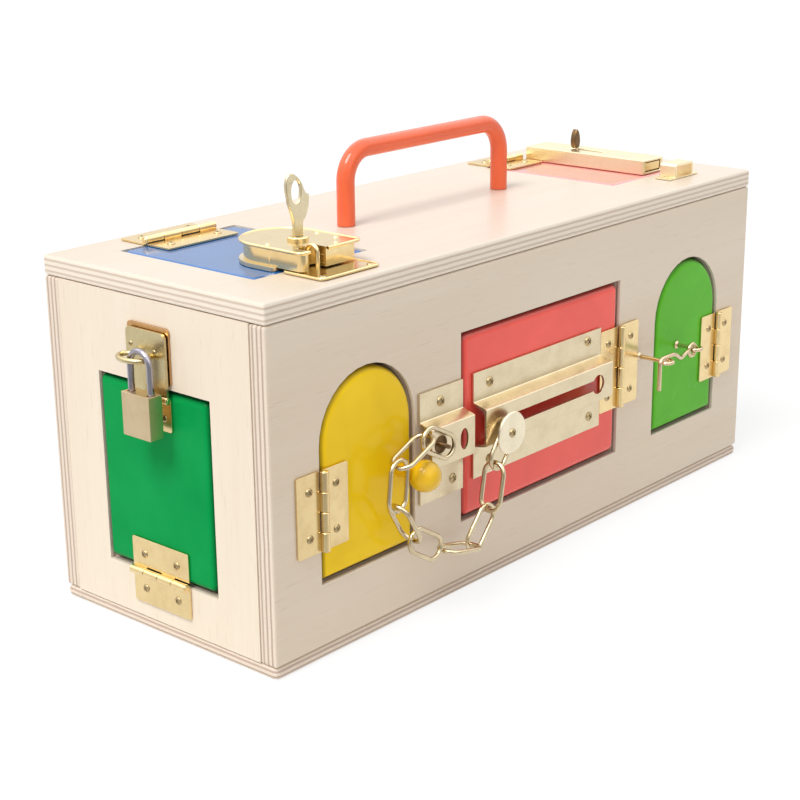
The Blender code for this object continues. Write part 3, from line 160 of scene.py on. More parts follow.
class Graph:
    """A material's or a world's node tree, built from Python."""

    def __init__(self, owner: bpy.types.Material | bpy.types.World) -> None:
        """Start with the owner's emptied tree."""
        self.owner = owner
        owner.use_nodes = True
        self.tree = owner.node_tree
        self.tree.nodes.clear()

    @classmethod
    def material(cls, name: str) -> "Graph":
        """Start a new material."""
        return cls(bpy.data.materials.new(name))

    def add(self, kind: str, settings: dict[str, Any] | None = None,
            inputs: dict[Any, Any] | None = None, output: Any = 0) -> Value:
        """Add a node of any type.

        Args:
            kind: The node's type.
            settings: Its properties.
            inputs: Numbers, tuples or values for its sockets, by name or index.
            output: The output that is returned, by name or index.

        Returns:
            The chosen output.
        """
        node = self.tree.nodes.new(kind)
        for key, setting in (settings or {}).items():
            setattr(node, key, setting)
        for key, given in (inputs or {}).items():
            if isinstance(given, Value):
                self.tree.links.new(given.socket, node.inputs[key])
            else:
                node.inputs[key].default_value = given
        return Value(self, node.outputs[output])

    def coordinates(self, output: str = "Object") -> Value:
        """Give the object's own coordinates, or its normals."""
        return self.add("ShaderNodeTexCoord", output=output)

    def part(self, vector: Value, axis: Axis) -> Value:
        """Give one component of a vector."""
        return self.add("ShaderNodeSeparateXYZ", inputs={0: vector}, output=axis.value)

    def along(self, vector: Value, way: Sequence[float]) -> Value:
        """Give how far a vector reaches along a direction."""
        return self.add("ShaderNodeVectorMath", {"operation": "DOT_PRODUCT"},
                        {0: vector, 1: tuple(Vector(way).normalized())}, "Value")

    def grained(self, vector: Value, across: float, axis: Axis, along: float) -> Value:
        """Stretch a vector so that a noise runs along an axis."""
        scale = [across] * 3
        scale[axis.value] = along
        return self.add("ShaderNodeVectorMath", {"operation": "MULTIPLY"},
                        {0: vector, 1: tuple(scale)})

    def noise(self, vector: Value, scale: float = 1.0, detail: float = 2.0, rough: float = 0.5,
              bend: float = 0.0) -> Value:
        """Give a noise texture's value."""
        return self.add("ShaderNodeTexNoise", inputs={
            "Vector": vector, "Scale": scale, "Detail": detail, "Roughness": rough,
            "Distortion": bend})

    def mix(self, share: Any, first: Any, second: Any) -> Value:
        """Mix two colours."""
        first, second = (c if isinstance(c, Value) else (*c, 1.0) for c in (first, second))
        return self.add("ShaderNodeMix", {"data_type": "RGBA"}, {0: share, 6: first, 7: second}, 2)

    def ramp(self, share: Value, stops: Sequence[tuple[float, Colour]]) -> Value:
        """Turn a value into a colour by a ramp's stops, from first to last."""
        colour = self.add("ShaderNodeValToRGB", inputs={0: share})
        elements = colour.socket.node.color_ramp.elements
        while len(elements) < len(stops):
            elements.new(1.0)
        for element, (place, shade) in zip(elements, stops):
            element.position = place
            element.color = (*shade, 1.0)
        return colour

    def bump(self, height: Value, depth: float, strength: float) -> Value:
        """Turn a height into normals."""
        return self.add("ShaderNodeBump", inputs={"Strength": strength, "Distance": depth,
                                                  "Height": height})

    def finish(self, **sockets: Any) -> bpy.types.Material:
        """Add the surface shader and end the material.

        Args:
            sockets: Principled BSDF inputs, with underscores for spaces.

        Returns:
            The material.
        """
        inputs = {key.replace("_", " "): value for key, value in sockets.items()}
        self.add_output(self.add("ShaderNodeBsdfPrincipled", inputs=inputs))
        return self.owner

    def add_output(self, shader: Value, kind: str = "ShaderNodeOutputMaterial") -> None:
        """Link a shader to the surface of the material or the world."""
        node = self.tree.nodes.new(kind)
        self.tree.links.new(shader.socket, node.inputs["Surface"])


# Finishes


@dataclass(frozen=True)
class Plywood:
    """Clear-lacquered plywood: figured face veneers, and its plies along the cut edges."""

    name: str
    through: Axis
    along: Axis
    low: float
    high: float
    plies: int = 7
    veneer: Colour = (0.885, 0.775, 0.640)
    figure: Colour = (0.815, 0.685, 0.530)
    long_ply: Colour = (0.84, 0.725, 0.600)
    cross_ply: Colour = (0.50, 0.37, 0.29)
    ply_blur_share: float = 0.022
    cross_share: float = 0.62
    streaks_across: float = 330.0
    streaks_along: float = 7.0
    bands_across: float = 17.0
    bands_along: float = 2.2
    pore_stretch: Point2 = (3.2, 9.0)
    band_bend: float = 0.9
    streak_share: float = 0.75
    band_share: float = 1.5
    figure_shift: float = 0.42
    pore_reach: Point2 = (0.66, 0.76)
    pore_share: float = 0.22
    wander_scale: float = 90.0
    wander_share: float = 0.05
    end_scale: float = 1400.0
    end_reach: Point2 = (0.35, 0.8)
    end_share: float = 0.35
    edge_reach: Point2 = (0.75, 0.55)
    roughness: float = 0.40
    grain_roughness: float = 0.10
    edge_roughness: float = 0.18
    lacquer: float = 0.22
    relief: Point2 = (0.00012, 0.35)

    def _ply_stops(self) -> list[tuple[float, Colour]]:
        """List the plies' colours from one face veneer to the other."""
        stops = [(0.0, self.long_ply)]
        crosses = self.plies // 2
        unit = 1.0 / (self.plies - crosses + crosses * self.cross_share)
        colours = (self.cross_ply, self.long_ply)
        place = 0.0
        for i in range(1, self.plies):
            place += unit if i % 2 else unit * self.cross_share
            stops += [(place - self.ply_blur_share, colours[i % 2]),
                      (place + self.ply_blur_share, colours[1 - i % 2])]
        return stops + [(1.0, self.long_ply)]

    def build(self) -> bpy.types.Material:
        """Make the material."""
        g = Graph.material(self.name)
        spot = g.coordinates()
        wide, far = self.pore_stretch
        streaks = g.noise(g.grained(spot, self.streaks_across, self.along, self.streaks_along),
                          detail=3.0, rough=0.6)
        bands = g.noise(g.grained(spot, self.bands_across, self.along, self.bands_along),
                        bend=self.band_bend)
        pores = g.noise(g.grained(spot, self.streaks_across * wide, self.along,
                                  self.streaks_along * far), detail=1.0)
        grain = (streaks - 0.5) * self.streak_share + (bands - 0.5) * self.band_share
        face = g.mix((grain + self.figure_shift).ease(0.0, 1.0), self.veneer, self.figure)
        face = g.mix(pores.ease(*self.pore_reach) * self.pore_share, face, self.cross_ply)
        depth = (g.part(spot, self.through) - self.low) * (1.0 / (self.high - self.low))
        wander = (g.noise(spot, self.wander_scale) - 0.5) * self.wander_share
        ends = g.noise(spot, self.end_scale, rough=0.7)
        plies = g.mix(ends.ease(*self.end_reach) * self.end_share,
                      g.ramp(depth + wander, self._ply_stops()), self.cross_ply)
        edge = g.part(g.coordinates("Normal"), self.through).size().ease(*self.edge_reach)
        relief = streaks * 0.6 + pores * 0.4 + edge * (ends - 0.5)
        return g.finish(Base_Color=g.mix(edge, face, plies),
                        Roughness=self.roughness + grain * self.grain_roughness
                        + edge * self.edge_roughness,
                        Coat_Weight=(1.0 - edge) * self.lacquer, Coat_Roughness=self.lacquer,
                        Normal=g.bump(relief, *self.relief))


@dataclass(frozen=True)
class Paint:
    """Sprayed gloss paint on a wooden piece, with painted shade on the rounded edges round its
    face.
    """

    name: str
    colour: Colour
    roughness: float = 0.18
    coat: float = 0.05
    specular: float = 0.3
    along: Axis = Axis.Z
    face: Axis | None = None
    peel_scale: float = 420.0
    grain_scale: float = 260.0
    grain_along: float = 0.04
    mottle_scale: float = 34.0
    mottle_reach: Point2 = (0.25, 0.75)
    mottle_share: float = 0.05
    # Painted shade: these settings darken the rounded edges round the face, where the normal turns
    # away from it.
    edge_reach: Point2 = (0.93, 0.50)
    edge_shade_share: float = 0.85
    painted_shade_share: float = 0.22
    smudge_scale: float = 75.0
    smudge_reach: Point2 = (0.5, 0.9)
    smudge_roughness: float = 0.10
    coat_roughness: float = 0.06
    relief: Point2 = (0.00008, 0.22)

    def build(self) -> bpy.types.Material:
        """Make the material."""
        g = Graph.material(self.name)
        spot = g.coordinates()
        cloud = g.noise(spot, self.mottle_scale, detail=3.0, rough=0.55)
        grain = g.noise(g.grained(spot, self.grain_scale, self.along,
                                  self.grain_scale * self.grain_along))
        peel = g.noise(spot, self.peel_scale, detail=1.0)
        smudge = g.noise(spot, self.smudge_scale, detail=4.0, rough=0.6)
        deep = tuple(c * (1 - self.mottle_share * 2) for c in self.colour)
        pale = tuple(min(c * (1 + self.mottle_share) + self.mottle_share * 0.1, 1.0)
                     for c in self.colour)
        colour = g.mix(cloud.ease(*self.mottle_reach), deep, pale)
        # Painted shade: the colour darkens where the normal turns away from the face, standing in
        # for the shade on the door's rounded edges.
        if self.face is not None:
            edge = g.part(g.coordinates("Normal"), self.face).size().ease(*self.edge_reach)
            painted_edge_shade = tuple(c * self.painted_shade_share for c in self.colour)
            colour = g.mix(edge * self.edge_shade_share, colour, painted_edge_shade)
        return g.finish(Base_Color=colour, Roughness=self.roughness
                        + smudge.ease(*self.smudge_reach) * self.smudge_roughness,
                        Coat_Weight=self.coat, Coat_Roughness=self.coat_roughness,
                        Specular_IOR_Level=self.specular,
                        Normal=g.bump(grain * 0.6 + peel * 0.4, *self.relief))


class Grind(Enum):
    """How a metal's surface was worked."""

    PRESSED = 0.35
    POLISHED = 0.12
    DRAWN = 0.6


@dataclass(frozen=True)
class Metal:
    """Plated or solid metal with fine working marks and a little tarnish."""

    name: str
    colour: Colour
    tarnish: Colour
    roughness: float
    grind: Grind = Grind.PRESSED
    along: Axis = Axis.X
    tarnish_share: float = 0.3
    marks_across: float = 2600.0
    marks_along: float = 90.0
    marks_roughness: float = 0.12
    cloud_scale: float = 120.0
    cloud_reach: Point2 = (0.42, 0.78)
    haze_reach: Point2 = (0.3, 0.8)
    haze_roughness: float = 0.08
    speck_scale: float = 900.0
    speck_reach: Point2 = (0.62, 0.8)
    speck_share: float = 0.12
    relief_depth: float = 0.00003

    def build(self) -> bpy.types.Material:
        """Make the material."""
        g = Graph.material(self.name)
        spot = g.coordinates()
        lines = g.noise(g.grained(spot, self.marks_across, self.along, self.marks_along),
                        rough=0.6)
        cloud = g.noise(spot, self.cloud_scale, detail=4.0, rough=0.6)
        specks = g.noise(spot, self.speck_scale, rough=0.6)
        share = (cloud.ease(*self.cloud_reach) * self.tarnish_share
                 + specks.ease(*self.speck_reach) * self.speck_share)
        return g.finish(Base_Color=g.mix(share, self.colour, self.tarnish), Metallic=1.0,
                        Roughness=self.roughness
                        + cloud.ease(*self.haze_reach) * self.haze_roughness
                        + (lines - 0.5) * self.marks_roughness,
                        Normal=g.bump(lines * 0.7 + cloud * 0.3, self.relief_depth,
                                      self.grind.value))


BRASS, BRASS_DARK = (0.87, 0.68, 0.36), (0.58, 0.35, 0.13)
FINISHES = (
    Metal("pressed_brass", BRASS, BRASS_DARK, 0.20),
    Metal("upright_brass", BRASS, BRASS_DARK, 0.20, along=Axis.Z),
    Metal("olive_brass", (0.64, 0.54, 0.31), (0.40, 0.27, 0.11), 0.24, along=Axis.Z),
    Metal("orange_brass", (0.62, 0.36, 0.15), (0.34, 0.16, 0.06), 0.24, along=Axis.Z),
    Metal("cast_brass", (0.90, 0.72, 0.39), (0.56, 0.33, 0.12), 0.15, Grind.POLISHED),
    Metal("brushed_brass", (0.72, 0.57, 0.36), (0.50, 0.35, 0.17), 0.33, Grind.DRAWN, Axis.Z),
    Metal("brass_wire", (0.72, 0.56, 0.37), (0.38, 0.22, 0.11), 0.16, Grind.POLISHED),
    Metal("champagne_nickel", (0.75, 0.64, 0.44), (0.50, 0.40, 0.24), 0.26, Grind.DRAWN),
    Metal("disc_nickel", (0.86, 0.77, 0.58), (0.60, 0.50, 0.33), 0.24, Grind.DRAWN),
    Metal("chain_wire", (0.68, 0.57, 0.38), (0.34, 0.23, 0.11), 0.14, Grind.POLISHED),
    Metal("key_metal", (0.76, 0.66, 0.44), (0.50, 0.38, 0.20), 0.26, Grind.DRAWN, Axis.Z),
    Metal("antique_bronze", (0.20, 0.12, 0.06), (0.07, 0.04, 0.02), 0.34),
    # A lighter copy of the brass: painted highlight for the slide bolt's housing, which the keeper
    # shares.
    Metal("painted_highlight_brass", (0.96, 0.85, 0.58), (0.78, 0.60, 0.30), 0.28),
    Metal("chrome", (0.44, 0.42, 0.47), (0.18, 0.14, 0.21), 0.10, Grind.POLISHED,
          tarnish_share=0.6),
    Metal("screw_brass", (0.54, 0.42, 0.23), (0.30, 0.20, 0.10), 0.26, Grind.POLISHED),
    # The finishes given face= paint shade onto the doors' rounded edges.
    Paint("yellow_paint", (0.97, 0.63, 0.006), specular=0.16, face=Axis.Y),
    Paint("knob_paint", (0.84, 0.50, 0.006), 0.2, 0.2, 0.4),
    Paint("leaf_green_paint", (0.115, 0.52, 0.022), 0.24, specular=0.14, face=Axis.Y),
    Paint("red_paint", (0.96, 0.100, 0.072), 0.2, 0.2, 0.35, Axis.X, Axis.Y),
    Paint("green_paint", (0.0008, 0.32, 0.070), 0.2, 0.0, 0.04, face=Axis.X),
    Paint("blue_paint", (0.026, 0.170, 0.50), 0.14, 0.32, 0.5, Axis.X),
    Paint("coral_paint", (0.92, 0.32, 0.33), 0.12, 0.8, 0.5, Axis.X),
    Paint("handle_paint", (0.96, 0.150, 0.050), 0.18, 0.35),
)


# Mesh making


def add_object(name: str, data: bpy.types.ID) -> bpy.types.Object:
    """Add an object to the scene."""
    obj = bpy.data.objects.new(name, data)
    bpy.context.scene.collection.objects.link(obj)
    return obj


def use_up(obj: bpy.types.Object, *others: bpy.types.Object) -> Mesh:
    """Turn an object and its modifiers into a new mesh, and remove all the objects given."""
    graph = bpy.context.evaluated_depsgraph_get()
    graph.update()
    mesh = bpy.data.meshes.new_from_object(obj.evaluated_get(graph), depsgraph=graph)
    for used in (obj, *others):
        store = bpy.data.curves if used.type == "CURVE" else bpy.data.meshes
        data = used.data
        bpy.data.objects.remove(used)
        store.remove(data)
    return mesh


def fill_mesh(name: str, work: bmesh.types.BMesh, place: Matrix = IN_PLACE) -> Mesh:
    """Turn a bmesh into a mesh and free it.

    Args:
        name: The mesh's name.
        work: The bmesh.
        place: Where it goes.

    Returns:
        The mesh.
    """
    bmesh.ops.recalc_face_normals(work, faces=work.faces)
    work.transform(place)
    mesh = bpy.data.meshes.new(name)
    work.to_mesh(mesh)
    work.free()
    return mesh


def curve_mesh(name: str, lines: Sequence[Sequence[Sequence[float]]], closed: bool,
               place: Matrix, **settings: Any) -> Mesh:
    """Make a mesh from a curve.

    Args:
        name: The mesh's name.
        lines: The curve's lines, as points in a plane or in space.
        closed: Whether the lines are closed.
        place: Where it goes.
        settings: The curve's own properties.

    Returns:
        The mesh, welded and closed.
    """
    curve = bpy.data.curves.new(name, "CURVE")
    for key, setting in settings.items():
        setattr(curve, key, setting)
    for points in lines:
        spline = curve.splines.new("POLY")
        spline.points.add(len(points) - 1)
        for target, point in zip(spline.points, points):
            target.co = (*point, *([0.0] * (3 - len(point))), 1.0)
        spline.use_cyclic_u = closed
    mesh = use_up(add_object(name, curve))
    work = bmesh.new()
    work.from_mesh(mesh)
    bpy.data.meshes.remove(mesh)
    bmesh.ops.remove_doubles(work, verts=work.verts, dist=WELD)
    return fill_mesh(name, work, place)


def bent(name: str, line: Sequence[Sequence[float]], place: Matrix, wire: float,
         closed: bool = False, resolution: int = 6) -> Mesh:
    """Bend a round wire of this radius along a line."""
    return curve_mesh(name, [line], closed, place, dimensions="3D", bevel_depth=wire,
                      bevel_resolution=resolution, use_fill_caps=True)


def plate(name: str, outlines: Sequence[Sequence[Point2]], low: float, high: float,
          place: Matrix) -> Mesh:
    """Make a flat sheet between two heights; the outlines after the first are holes."""
    return curve_mesh(name, outlines, True, place @ shift(0, 0, (low + high) / 2),
                      dimensions="2D", fill_mode="BOTH", extrude=(high - low) / 2)


def block(name: str, low: Sequence[float], high: Sequence[float],
          place: Matrix = IN_PLACE) -> Mesh:
    """Make a box between two corners."""
    work = bmesh.new()
    bmesh.ops.create_cube(work, size=1.0)
    size = [h - l for l, h in zip(low, high)]
    middle = [(h + l) / 2 for l, h in zip(low, high)]
    work.transform(Matrix.Translation(middle) @ Matrix.Diagonal((*size, 1.0)))
    return fill_mesh(name, work, place)


def lofted(name: str, rings: Iterable[Iterable[Sequence[float]]], place: Matrix) -> Mesh:
    """Join outlines, or an outline and a tip, from the lowest to the highest, with closed ends."""
    work = bmesh.new()
    loops = [[work.verts.new(point) for point in ring] for ring in rings]
    count = max(map(len, loops))
    for below, above in zip(loops, loops[1:]):
        for i in range(count):
            j = (i + 1) % count
            corners = dict.fromkeys((below[i % len(below)], below[j % len(below)],
                                     above[j % len(above)], above[i % len(above)]))
            if len(corners) > 2:
                work.faces.new(list(corners))
    for loop in (loops[0], loops[-1]):
        if len(loop) > 1:
            work.faces.new(loop)
    return fill_mesh(name, work, place)


def turned(name: str, profile: Sequence[Point2], place: Matrix = IN_PLACE,
           segments: int = 32) -> Mesh:
    """Turn a profile of radius and height about the third axis.

    Args:
        name: The mesh's name.
        profile: Radius and height from the lower end to the upper one.
        place: Where it goes.
        segments: Steps round the axis.

    Returns:
        The mesh, with its ends closed.
    """
    steps = [math.tau * i / segments for i in range(segments)]
    return lofted(name, [[(radius * math.cos(step), radius * math.sin(step), height)
                          for step in (steps if radius > 0 else steps[:1])]
                         for radius, height in profile], place)


def drum(name: str, radius: float, low: float, high: float, place: Matrix,
         lip: float = 0.0002, segments: int = 32) -> Mesh:
    """Make a round disc or pin with softened rims."""
    return turned(name, [(radius - lip, low), (radius, low + lip), (radius, high - lip),
                         (radius - lip, high)], place, segments)


def arc(centre: Point2, radius_u: float, radius_v: float, start: float, end: float,
        steps: int) -> list[Point2]:
    """List points along a round or oval arc."""
    return [(centre[0] + radius_u * math.cos(start + (end - start) * i / steps),
             centre[1] + radius_v * math.sin(start + (end - start) * i / steps))
            for i in range(steps + 1)]


def oval(centre: Point2, radius_u: float, radius_v: float, steps: int = 40) -> list[Point2]:
    """List the points of a closed oval."""
    return arc(centre, radius_u, radius_v, 0.0, math.tau, steps)[:-1]


def rounded(low: Point2, high: Point2, corners: Sequence[float], steps: int = 6) -> list[Point2]:
    """List a rectangle whose corners, anticlockwise from the lower left, have their own radii."""
    spots = ((low[0], low[1], 1, 1, math.pi), (high[0], low[1], -1, 1, -QUARTER_TURN),
             (high[0], high[1], -1, -1, 0.0), (low[0], high[1], 1, -1, QUARTER_TURN))
    outline: list[Point2] = []
    for (u, v, side_u, side_v, start), radius in zip(spots, corners):
        outline += (arc((u + side_u * radius, v + side_v * radius), radius, radius, start,
                        start + QUARTER_TURN, steps) if radius > 0 else [(u, v)])
    return outline


def mirrored(half: Sequence[Point2]) -> list[Point2]:
    """Add the other half of an outline that starts at its right foot."""
    return [*half, *((-u, v) for u, v in reversed(half))]


def staple_line(span: float, crown: float, foot: float, steps: int = 12) -> list[Point2]:
    """List a staple's centre line, along and out: a leg, a half-round crown and a leg.

    Args:
        span: Half of the distance between the legs.
        crown: The height of the crown.
        foot: The height of the legs' feet.
        steps: Steps along the crown.

    Returns:
        The points.
    """
    return [(-span, foot), *reversed(arc((0.0, crown - span), span, span, 0.0, math.pi, steps)),
            (span, foot)]


def carve(mesh: Mesh, *cutters: Mesh) -> Mesh:
    """Cut meshes out of a mesh.

    Args:
        mesh: The mesh that is worked on.
        cutters: The meshes that are used up.

    Returns:
        The new mesh.
    """
    obj = add_object(mesh.name, mesh)
    tools = [add_object(cutter.name, cutter) for cutter in cutters]
    for tool in tools:
        modifier = obj.modifiers.new("cut", "BOOLEAN")
        modifier.operation, modifier.solver, modifier.object = "DIFFERENCE", "EXACT", tool
    return use_up(obj, *tools)


@dataclass
class Screw:
    """A small round-head wood screw with a cross recess."""

    radius: float = 0.00215
    rise: float = 0.00095
    recess_length: float = 0.0025
    recess_width: float = 0.00052
    recess_depth: float = 0.0008
    skirt: float = 0.0006
    steps: int = 7

    def head(self) -> Mesh:
        """Make one head, seated at height 0."""
        profile = [(self.radius, -self.skirt), *arc((0.0, 0.0), self.radius, self.rise, 0.0,
                                                    QUARTER_TURN, self.steps)[:-1],
                   (0.0, self.rise)]
        reach, side = self.recess_length / 2, self.recess_width / 2
        slots = [block("recess", (-reach, -side, self.rise - self.recess_depth),
                       (reach, side, self.rise + OVERRUN), turn(QUARTER_TURN * k))
                 for k in range(2)]
        return carve(turned("screw_head", profile, segments=20), *slots)


class Workshop:
    """Keeps the finishes and the screw head, and fits pieces to the box."""

    def __init__(self) -> None:
        """Build the finishes and the head once."""
        self.finishes = {look.name: look.build() for look in FINISHES}
        self.head = Screw().head()

    def fit(self, name: str, meshes: Iterable[Mesh], finish: str, body: str, slot: str,
            *nodes: str, bevel: float = 0.0, steps: int = 2, angle: float = BEVEL_ANGLE,
            even: bool = False) -> None:
        """Join meshes into a piece, dress it and let it ride on a body.

        Args:
            name: The piece's name.
            meshes: Its meshes, which are used up.
            finish: Its finish.
            body: The body that it rides on.
            slot: The record's material slot; not used.
            nodes: The nodes that it stands for.
            bevel: The width of its rounded edges, or 0.
            steps: The steps of the rounding.
            angle: Edges that turn more than this are rounded.
            even: Whether the flats of a piece without rounded edges are evenly lit too.
        """
        work = bmesh.new()
        for mesh in meshes:
            work.from_mesh(mesh)
            bpy.data.meshes.remove(mesh)
        joined = bpy.data.meshes.new(name)
        work.to_mesh(joined)
        work.free()
        joined.shade_smooth()
        joined.set_sharp_from_angle(angle=SMOOTH_ANGLE)
        joined.materials.append(self.finishes[finish])
        obj = add_object(name, joined)
        if bevel:
            modifier = obj.modifiers.new("rounded edges", "BEVEL")
            modifier.width, modifier.segments = bevel, steps
            modifier.limit_method, modifier.angle_limit = "ANGLE", angle
            modifier.use_clamp_overlap = True
        if bevel or even:
            obj.modifiers.new("even shading", "WEIGHTED_NORMAL").keep_sharp = True
        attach(obj, body)
        if nodes:
            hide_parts(*nodes)
        LOG.info("%s rides on %s", name, body)

    def drive(self, name: str, body: str, slot: str, place: Matrix, spots: Sequence[Point2],
              seat: float, scale: float = 1.0, first_turn: float = 0.6,
              next_turn: float = 1.7) -> None:
        """Put screws in a plate.

        Args:
            name: The group's name.
            body: The body that it rides on.
            slot: The record's material slot.
            place: The frame that the spots are in.
            spots: Where the screws go.
            seat: The height of the plate under the heads.
            scale: The screws' size against the common one.
            first_turn: How far the first screw is turned.
            next_turn: How much further each next one is turned.
        """
        heads = [self.head.copy() for _ in spots]
        for i, (mesh, (u, v)) in enumerate(zip(heads, spots)):
            mesh.transform(place @ shift(u, v, seat) @ turn(first_turn + next_turn * i)
                           @ Matrix.Scale(scale, 4))
        self.fit(name, heads, "screw_brass", body, slot)


# The box


@dataclass
class Panel:
    """A plywood panel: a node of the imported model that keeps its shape."""

    node: str
    through: Axis
    along: Axis
    looks: dict[str, Any] | None = None

    def build(self, shop: Workshop) -> None:
        """Dress the panel in plywood that runs its own way."""
        low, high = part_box(self.node)
        finish = Plywood("plywood_" + self.node, self.through, self.along,
                         low[self.through.value], high[self.through.value], **(self.looks or {}))
        data = frame["nodes"][self.node].data
        data.materials.clear()
        data.materials.append(finish.build())
        LOG.info("%s is dressed", self.node)


@dataclass
class Door:
    """A painted door with soft edges that fills its opening."""

    node: str
    finish: str
    slot: str
    face: Face
    arched: bool = False
    edge: float = 0.0042
    near_edge: float = 0.0042
    corner: float = 0.0045
    near_corner: float = 0.0045
    least_corner: float = 0.0002
    arch_steps: int = 48
    edge_steps: int = 7

    def _outline(self, low: Vector, high: Vector, share: float) -> list[Point2]:
        """List the door's outline, drawn in by a share of its edges' rounding."""
        inset, near = self.edge * share, self.near_edge * share
        if not self.arched:
            far_corner, near_corner = (max(radius - inset, self.least_corner)
                                       for radius in (self.corner, self.near_corner))
            return rounded((low.x + near, low.y + inset), (high.x - inset, high.y - inset),
                           (near_corner, far_corner, far_corner, near_corner))
        reach = (high.x - low.x) / 2
        return [(low.x + inset, low.y + inset), (high.x - inset, low.y + inset)] + arc(
            ((low.x + high.x) / 2, high.y - reach), reach - inset, reach - inset, 0.0, math.pi,
            self.arch_steps)

    def build(self, shop: Workshop) -> None:
        """Make the door in its node's place, rounded towards its face."""
        low, high, _ = self.face.seat(self.node)
        layers = [(0.0, low.z)] + [(1.0 + u, high.z + self.edge * (v - 1.0)) for u, v in reversed(
            arc((0.0, 0.0), 1.0, 1.0, QUARTER_TURN, math.pi, self.edge_steps))]
        rings = [[(*point, level) for point in self._outline(low, high, share)]
                 for share, level in layers]
        shop.fit(self.node + "_painted", [lofted(self.node, rings, self.face.plane)], self.finish,
                 self.node, self.slot, self.node, even=True)


@dataclass
class Leaf:
    """One pressed leaf of a hinge, with its own barrels."""

    length: float
    reach: float
    side: int
    pin: bool = False
    barrel_radius: float = 0.00212
    barrel_lift: float = 0.0025
    barrel_count: int = 4
    barrel_lip: float = 0.00025
    pin_share: float = 0.62
    gap: float = 0.0003
    seat: float = SEAT
    thickness: float = 0.0009
    corner: float = 0.0012

    def _outline(self) -> list[Point2]:
        """List the leaf's outline, with tabs at its own barrels."""
        half, step = self.length / 2, self.length / self.barrel_count
        room, spot = self.barrel_radius + self.gap, self.reach - self.corner
        outline = arc((spot, half - self.corner), self.corner, self.corner, 0.0, QUARTER_TURN,
                      CORNER_STEPS)
        for i in reversed(range(self.barrel_count)):
            own = self._owns(i)
            edge, inset = (0.0, self.gap) if own else (room, -self.gap)
            outline += [(edge, -half + step * (i + 1)
                         - (inset if i < self.barrel_count - 1 else 0.0)),
                        (edge, -half + step * i + (inset if i > 0 else 0.0))]
        outline += arc((spot, -half + self.corner), self.corner, self.corner, -QUARTER_TURN, 0.0,
                       CORNER_STEPS)
        return [(self.side * u, v) for u, v in outline]

    def _owns(self, barrel: int) -> bool:
        """Tell whether a barrel belongs to this leaf; every second one does."""
        return (barrel % 2 == 0) == (self.side < 0)

    def meshes(self, place: Matrix) -> list[Mesh]:
        """Make the sheet, the barrels and, where it belongs, the pin."""
        along = place @ shift(0, 0, self.barrel_lift) @ turn(-QUARTER_TURN, "X")
        half, step = self.length / 2, self.length / self.barrel_count
        made = [plate("leaf", [self._outline()], self.seat, self.seat + self.thickness, place)]
        for i in filter(self._owns, range(self.barrel_count)):
            foot = -half + step * i + self.gap / 2
            made.append(drum("barrel", self.barrel_radius, foot, foot + step - self.gap, along,
                             self.barrel_lip, 28))
        if self.pin:
            made.append(drum("pin", self.barrel_radius * self.pin_share, -half, half, along,
                             0.0003, 20))
        return made


@dataclass
class ButtHinge:
    """A pressed brass butt hinge: two leaves, a pin and four screws."""

    prefix: str
    body: str
    face: Face
    angle: float
    length: float
    reach: float
    screw_spot: Point2

    def build(self, shop: Workshop) -> None:
        """Make both leaves and drive the screws."""
        spot = self.face.joint(self.prefix + "_door_hinge")
        place = self.face.plane @ shift(spot.x, spot.y) @ turn(self.angle)
        finish = "pressed_brass" if self.face is Face.TOP else "upright_brass"
        u, v = self.screw_spot
        for side, kind, body in ((-1, "wall", "box"), (1, "door", self.body)):
            name = f"{self.prefix}_hinge_{kind}_leaf"
            leaf = Leaf(self.length, self.reach, side, kind == "wall")
            shop.fit(name + "_pressed", leaf.meshes(place), finish, body, "brass_plate", name,
                     bevel=0.00018)
            shop.drive(f"{self.prefix}_hinge_{kind}_screws", body, "brass_plate", place,
                       ((side * u, v), (side * u, -v)), leaf.seat + leaf.thickness)


@dataclass
class CarryHandle:
    """The bent wooden rod on the lid."""

    diameter: float = 0.0096
    bend: float = 0.016
    bend_steps: int = 16

    def build(self, shop: Workshop) -> None:
        """Make the rod from foot to foot."""
        low, high, place = Face.TOP.seat("handle")
        reach, rise = (high.x - low.x - self.diameter) / 2, high.z - self.diameter / 2
        points = [(-reach, SEAT)]
        for u, start in ((self.bend - reach, QUARTER_TURN), (reach - self.bend, 0.0)):
            points += reversed(arc((u, rise - self.bend), self.bend, self.bend, start,
                                   start + QUARTER_TURN, self.bend_steps))
        points.append((reach, SEAT))
        shop.fit("handle_rod", [bent("handle", points, place @ STAND, self.diameter / 2,
                                     resolution=14)],
                 "handle_paint", "box", "handle_paint", "handle")


@dataclass
class Knob:
    """The round knob of the yellow door."""

    stem_radius: float = 0.0038
    steps: int = 20

    def build(self, shop: Workshop) -> None:
        """Turn the knob's profile."""
        low, high, place = Face.FRONT.seat("knob")
        radius = (high.x - low.x) / 2
        standoff = high.z - radius
        profile = [(0.0, SEAT), (self.stem_radius, SEAT),
                   *arc((0.0, standoff), radius, radius, -math.acos(self.stem_radius / radius),
                        QUARTER_TURN, self.steps)[:-1], (0.0, standoff + radius)]
        shop.fit("knob_turned", [turned("knob", profile, place, 48)], "knob_paint", "yellow_door",
                 "yellow_paint", "knob")


# The door chain


def link_frame(node: str) -> Matrix:
    """Find how a link lies from its node: its long, middle and thin directions."""
    spots = np.array([v.co for v in frame["nodes"][node].data.vertices])
    centre = (spots.min(axis=0) + spots.max(axis=0)) / 2
    _, axes = np.linalg.eigh(np.cov((spots - spots.mean(axis=0)).T))
    thin, middle, long = (Vector(axes[:, i]) for i in range(3))
    if long.cross(middle).dot(thin) < 0:
        thin = -thin
    return Matrix.Translation(centre) @ Matrix((long, middle, thin)).transposed().to_4x4()


